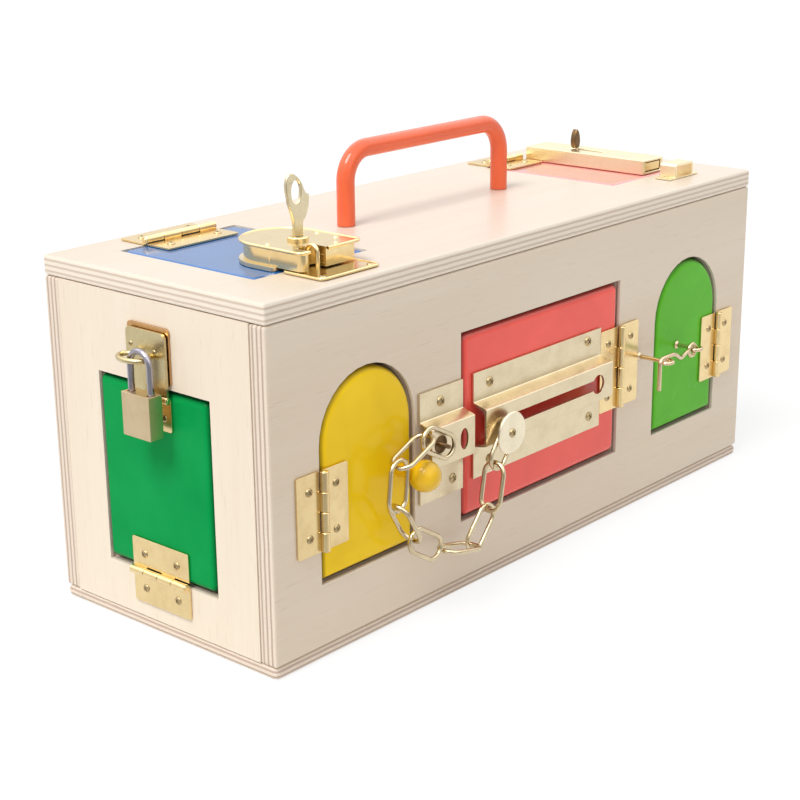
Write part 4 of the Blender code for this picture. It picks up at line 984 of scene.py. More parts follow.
@dataclass
class Chain:
    """Steel links between the wall plate and the sliding disc, half on each body."""

    owners: Sequence[tuple[str, Sequence[str]]] = (
        ("yellow_door", ("anchor", "a", "b", "c", "d")), ("chain_slider", ("e", "f", "g", "h")))
    wire: float = 0.0012
    length: float = 0.0277
    width: float = 0.0145
    round_steps: int = 14

    def build(self, shop: Workshop) -> None:
        """Make every link where its node lies."""
        radius = self.width / 2 - self.wire
        side = self.length / 2 - self.wire - radius
        outline = [point for way, start in ((side, -QUARTER_TURN), (-side, QUARTER_TURN))
                   for point in arc((way, 0.0), radius, radius, start, start + HALF_TURN,
                                    self.round_steps)]
        for body, letters in self.owners:
            for node in ("chain_link_" + letter for letter in letters):
                shop.fit(node + "_wire", [bent(node, outline, link_frame(node), self.wire, True)],
                         "chain_wire", body, "champagne_nickel", node)


@dataclass
class PressedChannel:
    """A steel plate on the front with a raised channel pressed along it."""

    node: str
    body: str
    channel: Point2
    rise: float
    screw_spots: Sequence[Point2]
    thickness: float = 0.0012
    slope: float = 0.0022
    upper_slope: float = 0.0028
    slope_steps: int = 8
    wall_share: float = 0.9

    def _swell(self, foot: float, head: float, low: float, high: float) -> list[Point2]:
        """List an S-shaped slope from one level to a higher one."""
        steps = self.slope_steps
        return [(foot + (head - foot) * i / steps,
                 low + (high - low) * (1 - math.cos(math.pi * i / steps)) / 2)
                for i in range(steps + 1)]

    def _section(self, low: float, high: float) -> list[Point2]:
        """List the plate's cross-section, as height on the face and height over it."""
        top, under = SEAT + self.thickness, SEAT
        wall, crest = self.thickness * self.wall_share, self.rise - self.thickness
        foot, head = self.channel
        outside = self._swell(foot, foot + self.slope, top, self.rise)
        outside += reversed(self._swell(head, head - self.upper_slope, top, self.rise))
        inside = self._swell(head - wall, head - self.upper_slope - wall, under, crest)
        inside += reversed(self._swell(foot + wall, foot + self.slope + wall, under, crest))
        return [(low, under), (low, top), *outside, (high, top), (high, under), *inside]

    def build(self, shop: Workshop, *cutters: Mesh) -> None:
        """Press the plate, cut its holes and drive the screws."""
        low, high, _ = Face.FRONT.seat(self.node)
        across = Matrix(((0, 0, 1, (low.x + high.x) / 2), (1, 0, 0, 0), (0, 1, 0, 0),
                         (0, 0, 0, 1)))
        reach = (high.x - low.x) / 2
        mesh = plate(self.node, [self._section(low.y, high.y)], -reach, reach,
                     Face.FRONT.plane @ across)
        shop.fit(self.node + "_pressed", [carve(mesh, *cutters)],
                 "champagne_nickel", self.body,
                 "champagne_nickel", self.node, bevel=0.00035, steps=3, angle=math.radians(25))
        shop.drive(self.node + "_screws", self.body, "champagne_nickel", Face.FRONT.plane,
                   self.screw_spots, SEAT + self.thickness, scale=1.25)


@dataclass
class TrackPlate:
    """The track on the red door, with its slot and keyhole."""

    slot_start: float = -0.0495
    slot_end: float = 0.0363
    slot_half: float = 0.0029
    keyhole_radius: float = 0.0053
    level: float = 0.0880
    channel: Point2 = (0.0765, 0.1005)
    rise: float = 0.0098
    screw_spots: Sequence[Point2] = ((-0.0479, 0.1084), (0.0373, 0.1105), (0.0398, 0.0671),
                                     (-0.0479, 0.0671))

    def build(self, shop: Workshop) -> None:
        """Make the plate."""
        plane, half = Face.FRONT.plane, self.slot_half
        slot = plate("slot", [rounded((self.slot_start, self.level - half),
                                      (self.slot_end, self.level + half), (half, 0.0, 0.0, half))],
                     -OVERRUN, self.rise + OVERRUN, plane)
        keyhole = drum("keyhole", self.keyhole_radius, -OVERRUN, self.rise + OVERRUN,
                       plane @ shift(self.slot_end, self.level))
        PressedChannel("chain_track_plate", "red_door", self.channel, self.rise,
                       self.screw_spots).build(shop, slot, keyhole)


@dataclass
class AnchorPlate:
    """The plate on the wall that holds the chain's end by a dark staple."""

    channel: Point2 = (0.0755, 0.1004)
    rise: float = 0.0092
    screw_spots: Sequence[Point2] = ((-0.0866, 0.1077), (-0.0774, 0.0648))
    hole_place: Point2 = (-0.0775, 0.0873)
    hole_half: Point2 = (0.0031, 0.0056)
    eyelet_radius: float = 0.0046
    staple_wire: float = 0.0010
    staple_span: float = 0.0032

    def build(self, shop: Workshop) -> None:
        """Make the plate and bend the staple that the first link stands round."""
        hole = plate("hole", [oval(self.hole_place, *self.hole_half)], -OVERRUN,
                     self.rise + OVERRUN, Face.FRONT.plane)
        PressedChannel("chain_anchor_plate", "box", self.channel, self.rise,
                       self.screw_spots).build(shop, hole)
        _, high, place = Face.FRONT.seat("chain_anchor_staple")
        long = link_frame("chain_link_anchor").col[0]
        line = staple_line(self.staple_span, high.z - self.staple_wire, self.rise + SEAT)
        meshes = [bent("staple", line, place @ turn(math.atan2(long.z, long.x)) @ STAND,
                       self.staple_wire),
                  drum("eyelet", self.eyelet_radius, self.rise - SEAT, self.rise + SEAT, place)]
        shop.fit("chain_anchor_staple_bent", meshes, "antique_bronze", "box",
                 "antique_bronze", "chain_anchor_staple")


@dataclass
class SlidingDisc:
    """The disc in front of the track, on a stud that holds the last link and runs in the slot."""

    centre: Point2 = (-0.0468, 0.0836)
    radius: float = 0.0111
    low: float = 0.0141
    high: float = 0.0155
    rim: float = 0.0005
    stud_place: Point2 = (-0.0465, 0.0864)
    stud_radius: float = 0.0013
    foot_radius: float = 0.0045
    foot_low: float = 0.0068
    foot_high: float = 0.0082

    def build(self, shop: Workshop) -> None:
        """Make the disc, the stud and the foot behind the track."""
        place, stud = (Face.FRONT.plane @ shift(*at) for at in (self.centre, self.stud_place))
        meshes = [drum("disc", self.radius, self.low, self.high, place, self.rim, 64),
                  drum("stud", self.stud_radius, self.foot_low, self.low + self.rim, stud),
                  drum("foot", self.foot_radius, self.foot_low, self.foot_high, stud)]
        shop.fit("chain_slider_disc", meshes, "disc_nickel", "chain_slider", "champagne_nickel",
                 "chain_slider", even=True)
        shop.drive("chain_slider_rivet", "chain_slider", "champagne_nickel", place,
                   ((0.0, 0.0),), self.high, scale=1.15)


# The hook and its eyes


@dataclass
class ScrewEye:
    """A wire eye that is screwed into the wood."""

    node: str
    body: str
    further_out: float = 0.0
    wire: float = 0.0011
    shank_radius: float = 0.0013
    collar_radius: float = 0.0024
    collar_thickness: float = 0.0009
    collar_lip: float = 0.0003
    collar_slope: float = 0.0005
    shank_fillet: float = 0.0004

    def build(self, shop: Workshop) -> None:
        """Bend the eye over its collar."""
        low, high, place = Face.FRONT.seat(self.node)
        radius = (high.x - low.x) / 2 - self.wire
        standoff = high.z - self.wire - radius + self.further_out
        collar, top = self.collar_radius, SEAT + self.collar_thickness
        profile = [(0.0, SEAT), (collar - self.collar_lip, SEAT), (collar, SEAT + self.collar_lip),
                   (collar - self.collar_slope, top), (self.shank_radius, top + self.shank_fillet),
                   (self.wire, standoff - radius), (0.0, standoff - radius)]
        ring = bent("eye", oval((0.0, 0.0), radius, radius), place @ shift(0, 0, standoff) @ STAND,
                    self.wire, True)
        shop.fit(self.node + "_bent", [turned("shank", profile, place, 24), ring], "brass_wire",
                 self.body, "brass_wire", self.node)


@dataclass
class HookWire:
    """The hook: a ring on the door's eye, a rod over the wall's eye and a prong beside it."""

    reach: float
    ring_radius: float = 0.0034
    wire: float = 0.0012
    rise: float = 0.0048
    dip: float = 0.0030
    rod_steps: int = 14
    turn_place: float = -0.0297
    prong_place: float = -0.0419
    bend: float = 0.0035
    bend_steps: int = 10
    prong_drop: float = 0.0180

    def build(self, shop: Workshop) -> None:
        """Bend the hook in its node's place."""
        place = Face.FRONT.plane @ Matrix.Translation(Face.FRONT.joint("hook_lift"))
        radius, length = self.ring_radius, self.ring_radius + self.turn_place
        line = []
        for share in (i / self.rod_steps for i in range(self.rod_steps + 1)):
            swell = share * share * (3 - 2 * share)
            line.append((-radius + length * share,
                         self.rise * swell - self.dip * math.sin(math.pi * share) ** 2,
                         self.reach * swell))
        prong = arc((self.prong_place + self.bend, self.rise - self.bend), self.bend, self.bend,
                    QUARTER_TURN, math.pi, self.bend_steps)
        prong.append((self.prong_place, self.rise - self.prong_drop))
        line += [(u, v, self.reach) for u, v in prong]
        meshes = [bent("rod", line, place, self.wire),
                  bent("ring", oval((0.0, 0.0), radius, radius), place, self.wire, True)]
        shop.fit("hook_bent", meshes, "brass_wire", "hook", "brass_wire", "hook")


# The key lock


@dataclass
class KeyLock:
    """The surface lock of the blue door, with its bolt, cylinder, key and keeper."""

    centre: float = -0.139
    width: float = 0.042
    back: float = -0.0035
    back_steps: int = 36
    front: float = -0.0570
    foot_front: float = -0.0386
    foot_top: float = 0.0023
    inset: float = 0.0022
    corner: float = 0.003
    over_rim: float = 0.0020
    cap_low: float = 0.0102
    cap_high: float = 0.0118
    cap_dip: float = 0.0004
    rim_wire: float = 0.0008
    overlap: float = 0.0004
    nose_gap: float = 0.0002
    nose_overlap: float = 0.0003
    cap_overlap: float = 0.0002
    notch_place: float = -0.1475
    notch_width: float = 0.012
    notch_back: float = -0.0465
    side_wall: float = 0.0010
    bolt_room: float = 0.0003
    rivets: Sequence[Point2] = ((-0.1555, -0.0310), (-0.1225, -0.0310), (-0.1325, -0.0525),
                                (-0.1240, -0.0445))
    rivet_profile: Sequence[Point2] = ((0.0014, -0.0005), (0.0014, 0.0), (0.0011, 0.0004),
                                       (0.0006, 0.0006), (0.0, 0.00065))

    def _outline(self, inset: float, front: float) -> list[Point2]:
        """List the lock's plan: straight sides, a half-round back and small front corners."""
        reach, corner = self.width / 2 - inset, self.corner
        points = []
        for u, start in ((self.centre - reach + corner, math.pi),
                         (self.centre + reach - corner, -QUARTER_TURN)):
            points += arc((u, front + corner), corner, corner, start, start + QUARTER_TURN,
                          CORNER_STEPS)
        return points + arc((self.centre, self.back - self.width / 2), reach, reach, 0.0, math.pi,
                            self.back_steps)

    def _cutters(self) -> list[Mesh]:
        """Make the notch for the keeper's staple and the tunnel for the bolt."""
        reach, side = self.notch_width / 2, self.width / 2 - self.inset - self.side_wall
        low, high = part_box("lock_bolt")
        room = Vector((0.0, self.bolt_room, self.bolt_room))
        low, high = low - room, high + room
        low.x, high.x = self.centre - side, self.centre + side
        return [block("notch", (self.notch_place - reach, self.front - OVERRUN, 0.0),
                      (self.notch_place + reach, self.notch_back, self.cap_high + OVERRUN),
                      Face.TOP.plane),
                block("tunnel", low, high)]

    def _case(self, shop: Workshop) -> None:
        """Stack the foot, the body, the nose and the cap with its rolled rim, and cut them."""
        top, roll = Face.TOP.plane, self.rim_wire
        cap = self._outline(roll, self.front + roll)
        rim = [(u, v, (self.cap_low + self.cap_high) / 2) for u, v in cap]
        reach = self.width / 2 - self.inset - self.nose_gap
        body_front = self.foot_front + self.inset
        nose = rounded((self.centre - reach, self.front + self.inset),
                       (self.centre + reach, body_front + OVERRUN),
                       (self.corner, self.corner, 0.0, 0.0))
        foot = plate("foot", [self._outline(0.0, self.foot_front)], SEAT, self.foot_top, top)
        shop.fit("lock_case_foot", [foot], "champagne_nickel", "blue_door", "solid_brass",
                 bevel=0.0003, steps=3)
        layers = [plate("body", [self._outline(self.inset, body_front)],
                        self.foot_top - self.overlap, self.cap_low + self.overlap, top),
                  plate("nose", [nose], self.over_rim, self.cap_low + self.nose_overlap, top),
                  plate("cap", [cap], self.cap_low + self.cap_overlap,
                        self.cap_high - self.cap_dip, top),
                  bent("rim", rim, top, roll, True)]
        domes = [turned("rivet", self.rivet_profile,
                        top @ shift(u, v, self.cap_high - self.cap_dip), 18)
                 for u, v in self.rivets]
        shop.fit("lock_case_pressed", [carve(mesh, *self._cutters()) for mesh in layers] + domes,
                 "cast_brass", "blue_door", "solid_brass", "lock_case", bevel=0.0003, steps=3)

    def build(self, shop: Workshop) -> None:
        """Make the case, the sliding bolt, the key and the keeper."""
        self._case(shop)
        shop.fit("lock_bolt_milled", [block("bolt", *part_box("lock_bolt"))], "cast_brass",
                 "lock_bolt", "solid_brass", "lock_bolt", bevel=0.0004, steps=3)
        LockKey(self.centre).build(shop)
        LockKeeper(self.notch_place).build(shop)


@dataclass
class LockKey:
    """The lock's cylinder and the flat key that stands in it."""

    centre: float
    cylinder_place: float = -0.0345
    cylinder_radius: float = 0.0052
    rim: float = 0.0005
    dip: float = 0.0004
    face_dip: float = 0.0001
    ring_shares: Point3 = (0.74, 0.70, 0.64)
    slot_reach: float = 0.0034
    slot_room: float = 0.0004
    thickness: float = 0.0018
    neck: float = 0.0062
    blade: float = 0.0030
    blade_corner: float = 0.0008
    bow_shares: Sequence[Point2] = (
        (-0.20, 0.02), (-0.25, 0.14), (-0.41, 0.42), (-0.49, 0.66), (-0.50, 0.80), (-0.45, 0.92),
        (-0.36, 0.985), (-0.28, 1.0), (-0.16, 0.985), (0.02, 0.91), (0.20, 0.77), (0.31, 0.62),
        (0.37, 0.56), (0.49, 0.54), (0.50, 0.46), (0.46, 0.28), (0.36, 0.12), (0.22, 0.02))
    hole_place_shares: Point2 = (-0.07, 0.62)
    hole_half_shares: Point2 = (0.215, 0.24)

    def build(self, shop: Workshop) -> None:
        """Turn the cylinder and cut the key."""
        low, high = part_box("lock_cylinder")
        key_low, key_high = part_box("lock_key")
        place = Matrix.Translation((self.centre, self.cylinder_place, 0.0))
        reach, thin, blade = self.cylinder_radius, self.thickness / 2, self.blade
        top = high.z - self.face_dip
        outer, deep, inner = (reach * share for share in self.ring_shares)
        profile = [(0.0, low.z), (reach, low.z), (reach, high.z - self.rim),
                   (reach - self.rim, high.z), (outer, high.z), (deep, high.z - self.dip),
                   (inner, top), (0.0, top)]
        side = thin + self.slot_room
        slot = block("slot", (-self.slot_reach, -side, key_low.z - self.slot_room),
                     (self.slot_reach, side, high.z + OVERRUN), place)
        shop.fit("lock_cylinder_turned", [carve(turned("cylinder", profile, place, 48), slot)],
                 "cast_brass", "lock_key", "solid_brass", "lock_cylinder")
        foot = high.z + self.neck
        width, rise = key_high.x - key_low.x, key_high.z - foot
        cut = self.blade_corner
        outline = [(-blade, foot), (-blade, key_low.z + cut), (-blade + cut, key_low.z),
                   (blade - cut, key_low.z), (blade, key_low.z + cut), (blade, foot)]
        outline += [(u * width, foot + v * rise) for u, v in reversed(self.bow_shares)]
        hole_u, hole_v = self.hole_place_shares
        half_u, half_v = self.hole_half_shares
        hole = oval((hole_u * width, foot + hole_v * rise), half_u * width, half_v * rise, 32)
        shop.fit("lock_key_cut", [plate("key", [outline, hole], -thin, thin, place @ STAND)],
                 "key_metal", "lock_key", "key_nickel", "lock_key", bevel=0.00035, steps=3)


@dataclass
class LockKeeper:
    """The keeper plate on the lid's rim, with its rolled edge and its staple."""

    staple_place: float
    roll: float = 0.0007
    wire: float = 0.0011
    span: float = 0.0034
    corner: float = 0.0025
    sheet_share: float = 1.4
    screw_spots: Sequence[Point2] = ((-0.1550, -0.0655), (-0.1230, -0.0655))
    screw_seat: float = 0.0012

    def build(self, shop: Workshop) -> None:
        """Press the plate, bend the staple and drive the screws."""
        low, high, _ = Face.TOP.seat("lock_keeper")
        top, roll = Face.TOP.plane, self.roll
        outline = rounded((low.x + roll, low.y + roll), (high.x - roll, high.y - roll),
                          (self.corner,) * 4)
        rim = [(u, v, SEAT + roll) for u, v in outline]
        bolt_low, bolt_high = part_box("lock_bolt")
        place = (top @ shift(self.staple_place, (bolt_low.y + bolt_high.y) / 2)
                 @ turn(QUARTER_TURN) @ STAND)
        line = staple_line(self.span, high.z - self.wire, SEAT + roll)
        meshes = [plate("sheet", [outline], SEAT, SEAT + roll * self.sheet_share, top),
                  bent("rim", rim, top, roll, True, 5), bent("staple", line, place, self.wire)]
        shop.fit("lock_keeper_pressed", meshes, "cast_brass", "box", "solid_brass", "lock_keeper",
                 bevel=0.00015)
        shop.drive("lock_keeper_screws", "box", "solid_brass", top, self.screw_spots,
                   self.screw_seat, scale=0.85)


# The slide bolt


@dataclass
class SlideBolt:
    """The folded housing on the pink door, its bolt, thumb piece and keeper."""

    wall: float = 0.0012
    clearance: float = 0.0005
    bolt_rise: float = 0.0048
    neck: float = 0.0013
    neck_sink: float = 0.003
    neck_room: float = 0.0006
    slot_start: float = -0.0015
    slot_end: float = 0.0215
    keeper_wall: float = 0.0014
    keeper_corner: float = 0.0018
    screw_inset: float = 0.0026
    screw_seat: float = 0.0010
    thumb_reach: float = 0.0029
    thumb_shares: Sequence[Point2] = ((0.55, 0.0), (0.85, 0.12), (1.0, 0.30), (0.98, 0.48),
                                      (0.84, 0.66), (0.58, 0.83), (0.30, 0.94))

    def build(self, shop: Workshop) -> None:
        """Fold the housing, cut its slot, make the bolt, and add the thumb piece and keeper."""
        top = Face.TOP.plane
        low, high, _ = Face.TOP.seat("bolt_housing")
        bolt_low, bolt_high, _ = Face.TOP.seat("slide_bolt")
        thumb_low, thumb_high, thumb_place = Face.TOP.seat("bolt_thumb_piece")
        slide_top = bolt_low.z + self.bolt_rise
        room = block("room", (bolt_low.x - self.clearance, low.y - OVERRUN, low.z + self.wall),
                     (bolt_high.x + self.clearance, high.y - self.wall,
                      slide_top + self.clearance), top)
        middle, side = (low.x + high.x) / 2, self.neck + self.neck_room
        slot = block("slot", (middle - side, self.slot_start, slide_top),
                     (middle + side, self.slot_end, high.z + OVERRUN), top)
        shop.fit("bolt_housing_folded", [carve(block("housing", low, high, top), room, slot)],
                 "painted_highlight_brass", "pink_door", "brass_plate", "bolt_housing", bevel=0.0009, steps=4)
        middle, along = (bolt_low.x + bolt_high.x) / 2, (thumb_low.y + thumb_high.y) / 2
        meshes = [block("bolt", bolt_low, (bolt_high.x, bolt_high.y, slide_top), top),
                  block("neck", (middle - self.neck, along - self.neck,
                                 bolt_low.z + self.neck_sink),
                        (middle + self.neck, along + self.neck, bolt_high.z), top)]
        shop.fit("slide_bolt_milled", meshes, "pressed_brass", "slide_bolt", "brass_plate",
                 "slide_bolt", bevel=0.0005, steps=3)
        rise, thin = thumb_high.z - thumb_low.z, (thumb_high.y - thumb_low.y) / 2
        half = [(self.thumb_reach * u, thumb_low.z + rise * v) for u, v in self.thumb_shares]
        outline = half + [(0.0, thumb_high.z)] + [(-u, v) for u, v in reversed(half)]
        # The thumb piece's very dark bronze colour is a painted dark reflection on brass.
        shop.fit("bolt_thumb_cast", [plate("thumb", [outline], -thin, thin, thumb_place @ STAND)],
                 "antique_bronze", "slide_bolt", "antique_bronze", "bolt_thumb_piece", bevel=0.0009,
                 steps=4)
        self._keeper(shop, (bolt_high.x - bolt_low.x) / 2 + self.clearance)

    def _keeper(self, shop: Workshop, room: float) -> None:
        """Bend the keeper over the bolt's path and drive its screws."""
        low, high, place = Face.TOP.seat("bolt_keeper")
        wall, corner = self.keeper_wall, self.keeper_corner
        foot, reach, depth = low.z + wall / 2, (high.x - low.x) / 2, (high.y - low.y) / 2
        outside = [(reach, low.z), (reach, foot), (room + wall, foot),
                   *arc((room + wall - corner, high.z - corner), corner, corner, 0.0,
                        QUARTER_TURN, CORNER_STEPS)]
        hole = mirrored([(room, foot), (room, high.z - wall)])
        mesh = plate("keeper", [mirrored(outside), hole], -depth, depth, place @ STAND)
        shop.fit("bolt_keeper_bent", [mesh], "painted_highlight_brass", "box", "brass_plate", "bolt_keeper",
                 bevel=0.0003, steps=3)
        level = (low.y + high.y) / 2
        shop.drive("bolt_keeper_screws", "box", "brass_plate", Face.TOP.plane,
                   ((low.x + self.screw_inset, level), (high.x - self.screw_inset, level)),
                   self.screw_seat, scale=0.8)


# The hasp and its padlock


@dataclass
class Hasp:
    """The swinging arm with its oval ring, the leaf that holds it and the plate behind it."""

    width: float = 0.027
    barrel_radius: float = 0.0019
    barrel_lift: float = 0.0022
    ring_centre: Point2 = (-0.0019, 0.0087)
    ring_height: float = 0.1438
    ring_half: Point2 = (0.0087, 0.0057)
    ring_wire: float = 0.0013
    arm_seat: float = 0.0018
    arm_thickness: float = 0.0014
    arm_corner: float = 0.0028
    plate_corner: float = 0.002
    leaf_spots: Sequence[Point2] = ((0.0095, 0.0085), (0.0095, -0.0085))
    rivet_spots: Sequence[Point2] = ((-0.0101, 0.1478), (0.0062, 0.1462))

    def build(self, shop: Workshop) -> None:
        """Make the three pressings and the ring."""
        face, plane = Face.LEFT, Face.LEFT.plane
        spot = face.joint("hasp_arm_hinge")
        place = plane @ shift(spot.x, spot.y) @ turn(-QUARTER_TURN)
        barrels = {"barrel_radius": self.barrel_radius, "barrel_lift": self.barrel_lift}
        leaf = Leaf(self.width, spot.y - face.seat("hasp_door_leaf")[0].y, 1, True, **barrels)
        shop.fit("hasp_door_leaf_pressed", leaf.meshes(place), "upright_brass", "end_door",
                 "brass_plate", "hasp_door_leaf", bevel=0.0002)
        shop.drive("hasp_leaf_screws", "end_door", "brass_plate", place, self.leaf_spots,
                   SEAT + leaf.thickness, scale=0.9)
        arm = Leaf(self.width, face.seat("hasp_arm")[1].y - spot.y, -1, seat=self.arm_seat,
                   thickness=self.arm_thickness, corner=self.arm_corner, **barrels)
        ring = bent("ring", oval(self.ring_centre, *self.ring_half, 64),
                    plane @ shift(0, self.ring_height) @ STAND, self.ring_wire, True, 7)
        shop.fit("hasp_arm_pressed", arm.meshes(place) + [ring], "olive_brass", "hasp_arm",
                 "brass_plate", "hasp_arm", bevel=0.0003, steps=3)
        shop.drive("hasp_arm_rivets", "hasp_arm", "brass_plate", plane, self.rivet_spots,
                   self.arm_seat + self.arm_thickness, scale=0.62)
        low, high, _ = face.seat("hasp_staple_plate")
        back = plate("back", [rounded(low.xy, high.xy, (self.plate_corner,) * 4)], low.z, high.z,
                     plane)
        shop.fit("hasp_staple_plate_pressed", [back], "orange_brass", "box", "brass_plate",
                 "hasp_staple_plate", bevel=0.0002)


@dataclass
class Padlock:
    """The small padlock that hangs over the end of the hasp's ring."""

    side: float = 0.0047
    swing: float = 0.010771
    spacing: float = 0.0134
    wire: float = 0.0016
    crown: float = 0.1483
    width: float = 0.0190
    height: float = 0.0210
    thickness: float = 0.0080
    top: float = 0.1285
    insert: float = 0.0070
    bevel: float = 0.0011
    bore_radius: float = 0.0020
    bore_depth: float = 0.0090

    def build(self, shop: Workshop) -> None:
        """Make the body and the shackle."""
        place = Face.LEFT.plane @ shift(self.side, self.top, self.swing)
        reach, thin, leg = self.width / 2, self.thickness / 2, self.spacing / 2
        bores = [drum("bore", self.bore_radius, -OVERRUN, self.bore_depth,
                      place @ shift(side * leg, 0.0) @ STAND) for side in (-1, 1)]
        body = block("body", (-reach, -self.height, -thin), (reach, 0.0, thin), place)
        shop.fit("padlock_body_cast", [carve(body, *bores)], "brushed_brass", "padlock_body",
                 "solid_brass", "padlock_body", bevel=self.bevel, steps=3)
        line = staple_line(leg, self.crown - self.top, -self.insert, 28)
        shop.fit("padlock_shackle_bent", [bent("shackle", line, place, self.wire, resolution=8)],
                 "chrome", "padlock_shackle", "chrome_steel", "padlock_shackle")


# The studio


@dataclass
class Studio:
    """A pale floor, soft light and the camera that took the photograph."""

    camera_place: Point3 = (-0.70196, -0.59300, 0.36774)
    camera_way: Point3 = (0.71403, 0.62896, -0.30752)
    camera_roll: float = math.radians(-0.619)
    focal_px: float = 1724.6
    picture_px: float = 800.0
    sensor: float = 36.0
    clip_start: float = 0.01
    floor_half: float = 6.0
    floor_pale: float = 0.86
    floor_deep: float = 0.05
    floor_glow: float = 1.08
    glow_share: float = 0.74
    ambient: float = 0.52
    lamps: Sequence[tuple[str, float, Point3, float]] = (
        ("key", 2.12, (-0.55, -0.03, 0.83), 28.0), ("fill", 0.18, (-0.35, -0.75, 0.55), 50.0))
    mirrored: float = 0.85
    top_reach: Point2 = (0.2, 0.6)
    cards: Sequence[tuple[Point3, Point2, float]] = (
        ((-0.70, -0.59, 0.37), (0.80, 0.97), 0.60), ((0.45, -0.85, 0.28), (0.86, 0.97), 0.45))
    dark_floor_way: Point3 = (-0.76, -0.65, 0.0)
    dark_floor_reach: Point2 = (0.12, 0.40)
    dark_floor_share: float = 0.62

    def _camera(self) -> None:
        """Place the camera."""
        data = bpy.data.cameras.new("camera")
        data.sensor_width = self.sensor
        data.lens = self.focal_px * self.sensor / self.picture_px
        data.clip_start = self.clip_start
        camera = add_object("camera", data)
        aim = Vector(self.camera_way).to_track_quat("-Z", "Y").to_matrix().to_4x4()
        camera.matrix_world = shift(*self.camera_place) @ aim @ turn(self.camera_roll)
        bpy.context.scene.camera = camera

    def _sun(self, name: str, strength: float, comes_from: Point3, spread: float) -> None:
        """Add a soft distant lamp."""
        data = bpy.data.lights.new(name, "SUN")
        data.energy = strength
        data.angle = math.radians(spread)
        lamp = add_object(name, data)
        lamp.rotation_euler = Vector(comes_from).to_track_quat("Z", "Y").to_euler()

    @staticmethod
    def _rays(graph: Graph, *kinds: str) -> list[Value]:
        """Tell which kinds of ray see the surface."""
        return [graph.add("ShaderNodeLightPath", output=f"Is {kind} Ray") for kind in kinds]

    def _world(self) -> None:
        """Fill the world with even light, with a bright top and dark cards that metal mirrors."""
        world = bpy.data.worlds.new("studio")
        bpy.context.scene.world = world
        g = Graph(world)
        camera_ray, mirror_ray, clear_ray = self._rays(g, "Camera", "Glossy", "Transmission")
        way = g.coordinates("Generated")
        top = g.part(way, Axis.Z).ease(*self.top_reach)
        dark, side = (g.along(way, place).ease(*reach) * share
                      for place, reach, share in self.cards)
        seen = camera_ray + clear_ray
        strength = (seen + mirror_ray * (self.mirrored + top - (dark + side))
                    + (1.0 - seen - mirror_ray) * self.ambient)
        g.add_output(g.add("ShaderNodeBackground", inputs={"Color": (1.0, 1.0, 1.0, 1.0),
                                                           "Strength": strength}),
                     "ShaderNodeOutputWorld")

    def _floor(self) -> None:
        """Lay a pale floor that keeps a light shadow; metal mirrors its front part dark."""
        g = Graph.material("floor")
        camera_ray, mirror_ray = self._rays(g, "Camera", "Glossy")
        pale, deep = (g.add("ShaderNodeBsdfDiffuse", inputs={"Color": (shade, shade, shade, 1.0)})
                      for shade in (self.floor_pale, self.floor_deep))
        glow = g.add("ShaderNodeEmission", inputs={"Color": (1.0, 1.0, 1.0, 1.0),
                                                   "Strength": self.floor_glow})
        lit = g.add("ShaderNodeMixShader", inputs={
            0: (camera_ray + mirror_ray) * self.glow_share, 1: pale, 2: glow})
        near = g.along(g.add("ShaderNodeNewGeometry", output="Position"), self.dark_floor_way)
        dark = mirror_ray * near.ease(*self.dark_floor_reach) * self.dark_floor_share
        g.add_output(g.add("ShaderNodeMixShader", inputs={0: dark, 1: lit, 2: deep}))
        work = bmesh.new()
        bmesh.ops.create_grid(work, x_segments=1, y_segments=1, size=self.floor_half)
        floor = add_object("floor", fill_mesh("floor", work))
        floor.data.materials.append(g.owner)

    def build(self) -> None:
        """Set up the whole studio."""
        bpy.context.scene.view_settings.view_transform = "Standard"
        self._camera()
        self._world()
        self._floor()
        for lamp in self.lamps:
            self._sun(*lamp)


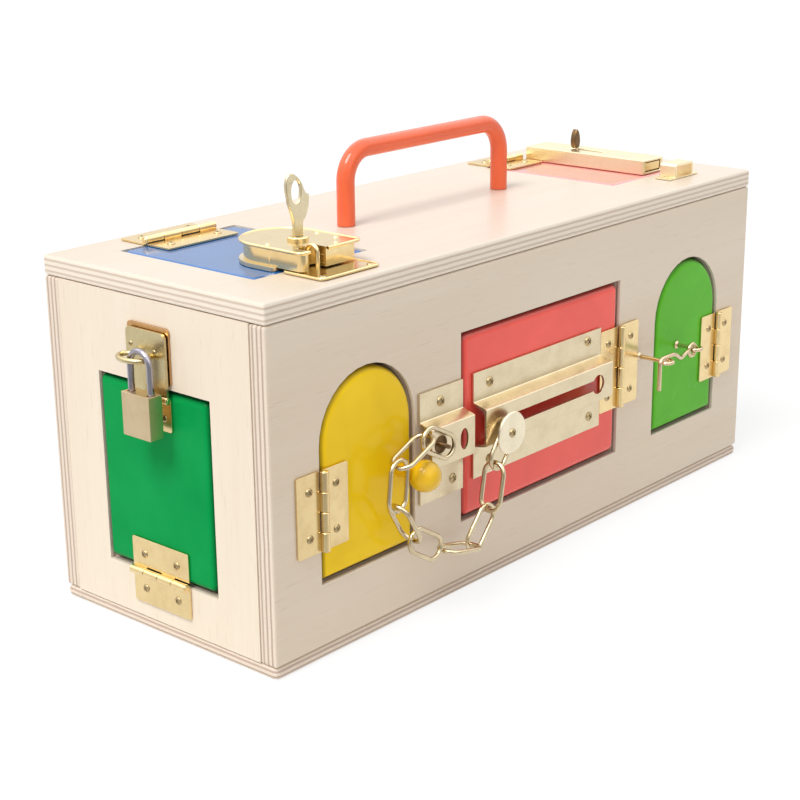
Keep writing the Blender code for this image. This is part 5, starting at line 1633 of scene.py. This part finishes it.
LID_LOOKS = {"veneer": (0.870, 0.757, 0.643), "figure": (0.800, 0.678, 0.54),
             "long_ply": (0.90, 0.80, 0.68), "cross_ply": (0.66, 0.53, 0.42)}
# The front panel's veneer is darker than the other panels': painted shade for the less lit front.
FRONT_SHADED_LOOKS = {"veneer": (0.80, 0.680, 0.545), "figure": (0.735, 0.60, 0.45)}
END_EDGES = {"near_edge": 0.0010, "near_corner": 0.0010}
LID_EDGES = {"edge": 0.0020, "near_edge": 0.0020, "corner": 0.0022, "near_corner": 0.0022}
SMALL_HINGE = (0.040, 0.0170, (0.0090, 0.0115))
LARGE_HINGE = (0.047, 0.0183, (0.0110, 0.0155))
NARROW_HINGE = (0.032, 0.0170, (0.0090, 0.0085))
WALL_REACH = 0.0055
PARTS = (
    Panel("base_panel", Axis.Z, Axis.X, {"plies": 5}),
    Panel("lid_panel", Axis.Z, Axis.X, LID_LOOKS),
    Panel("front_panel", Axis.Y, Axis.X, FRONT_SHADED_LOOKS),
    Panel("back_panel", Axis.Y, Axis.X),
    Panel("left_end_panel", Axis.X, Axis.Z),
    Panel("right_end_panel", Axis.X, Axis.Z),
    Door("yellow_door", "yellow_paint", "yellow_paint", Face.FRONT, True),
    Door("green_arch_door", "leaf_green_paint", "leaf_green_paint", Face.FRONT, True),
    Door("red_door", "red_paint", "red_paint", Face.FRONT),
    Door("end_door", "green_paint", "green_paint", Face.LEFT, **END_EDGES),
    Door("blue_door", "blue_paint", "blue_paint", Face.TOP, **LID_EDGES),
    Door("pink_door", "coral_paint", "red_paint", Face.TOP, **LID_EDGES),
    ButtHinge("yellow", "yellow_door", Face.FRONT, 0.0, *SMALL_HINGE),
    ButtHinge("green", "green_arch_door", Face.FRONT, HALF_TURN, *SMALL_HINGE),
    ButtHinge("red", "red_door", Face.FRONT, HALF_TURN, *LARGE_HINGE),
    ButtHinge("end", "end_door", Face.LEFT, QUARTER_TURN, *SMALL_HINGE),
    ButtHinge("blue", "blue_door", Face.TOP, -QUARTER_TURN, *LARGE_HINGE),
    ButtHinge("pink", "pink_door", Face.TOP, -QUARTER_TURN, *NARROW_HINGE),
    CarryHandle(), Knob(), Chain(), TrackPlate(), AnchorPlate(), SlidingDisc(),
    ScrewEye("hook_wall_eye", "box", WALL_REACH), ScrewEye("hook_door_eye", "green_arch_door"),
    HookWire(WALL_REACH), KeyLock(), SlideBolt(), Hasp(), Padlock())


def main() -> None:
    """Build the studio, then every part in order."""
    logging.basicConfig(level=logging.INFO, format="%(message)s")
    Studio().build()
    shop = Workshop()
    for part in PARTS:
        part.build(shop)


if __name__ == "__main__":
    main()
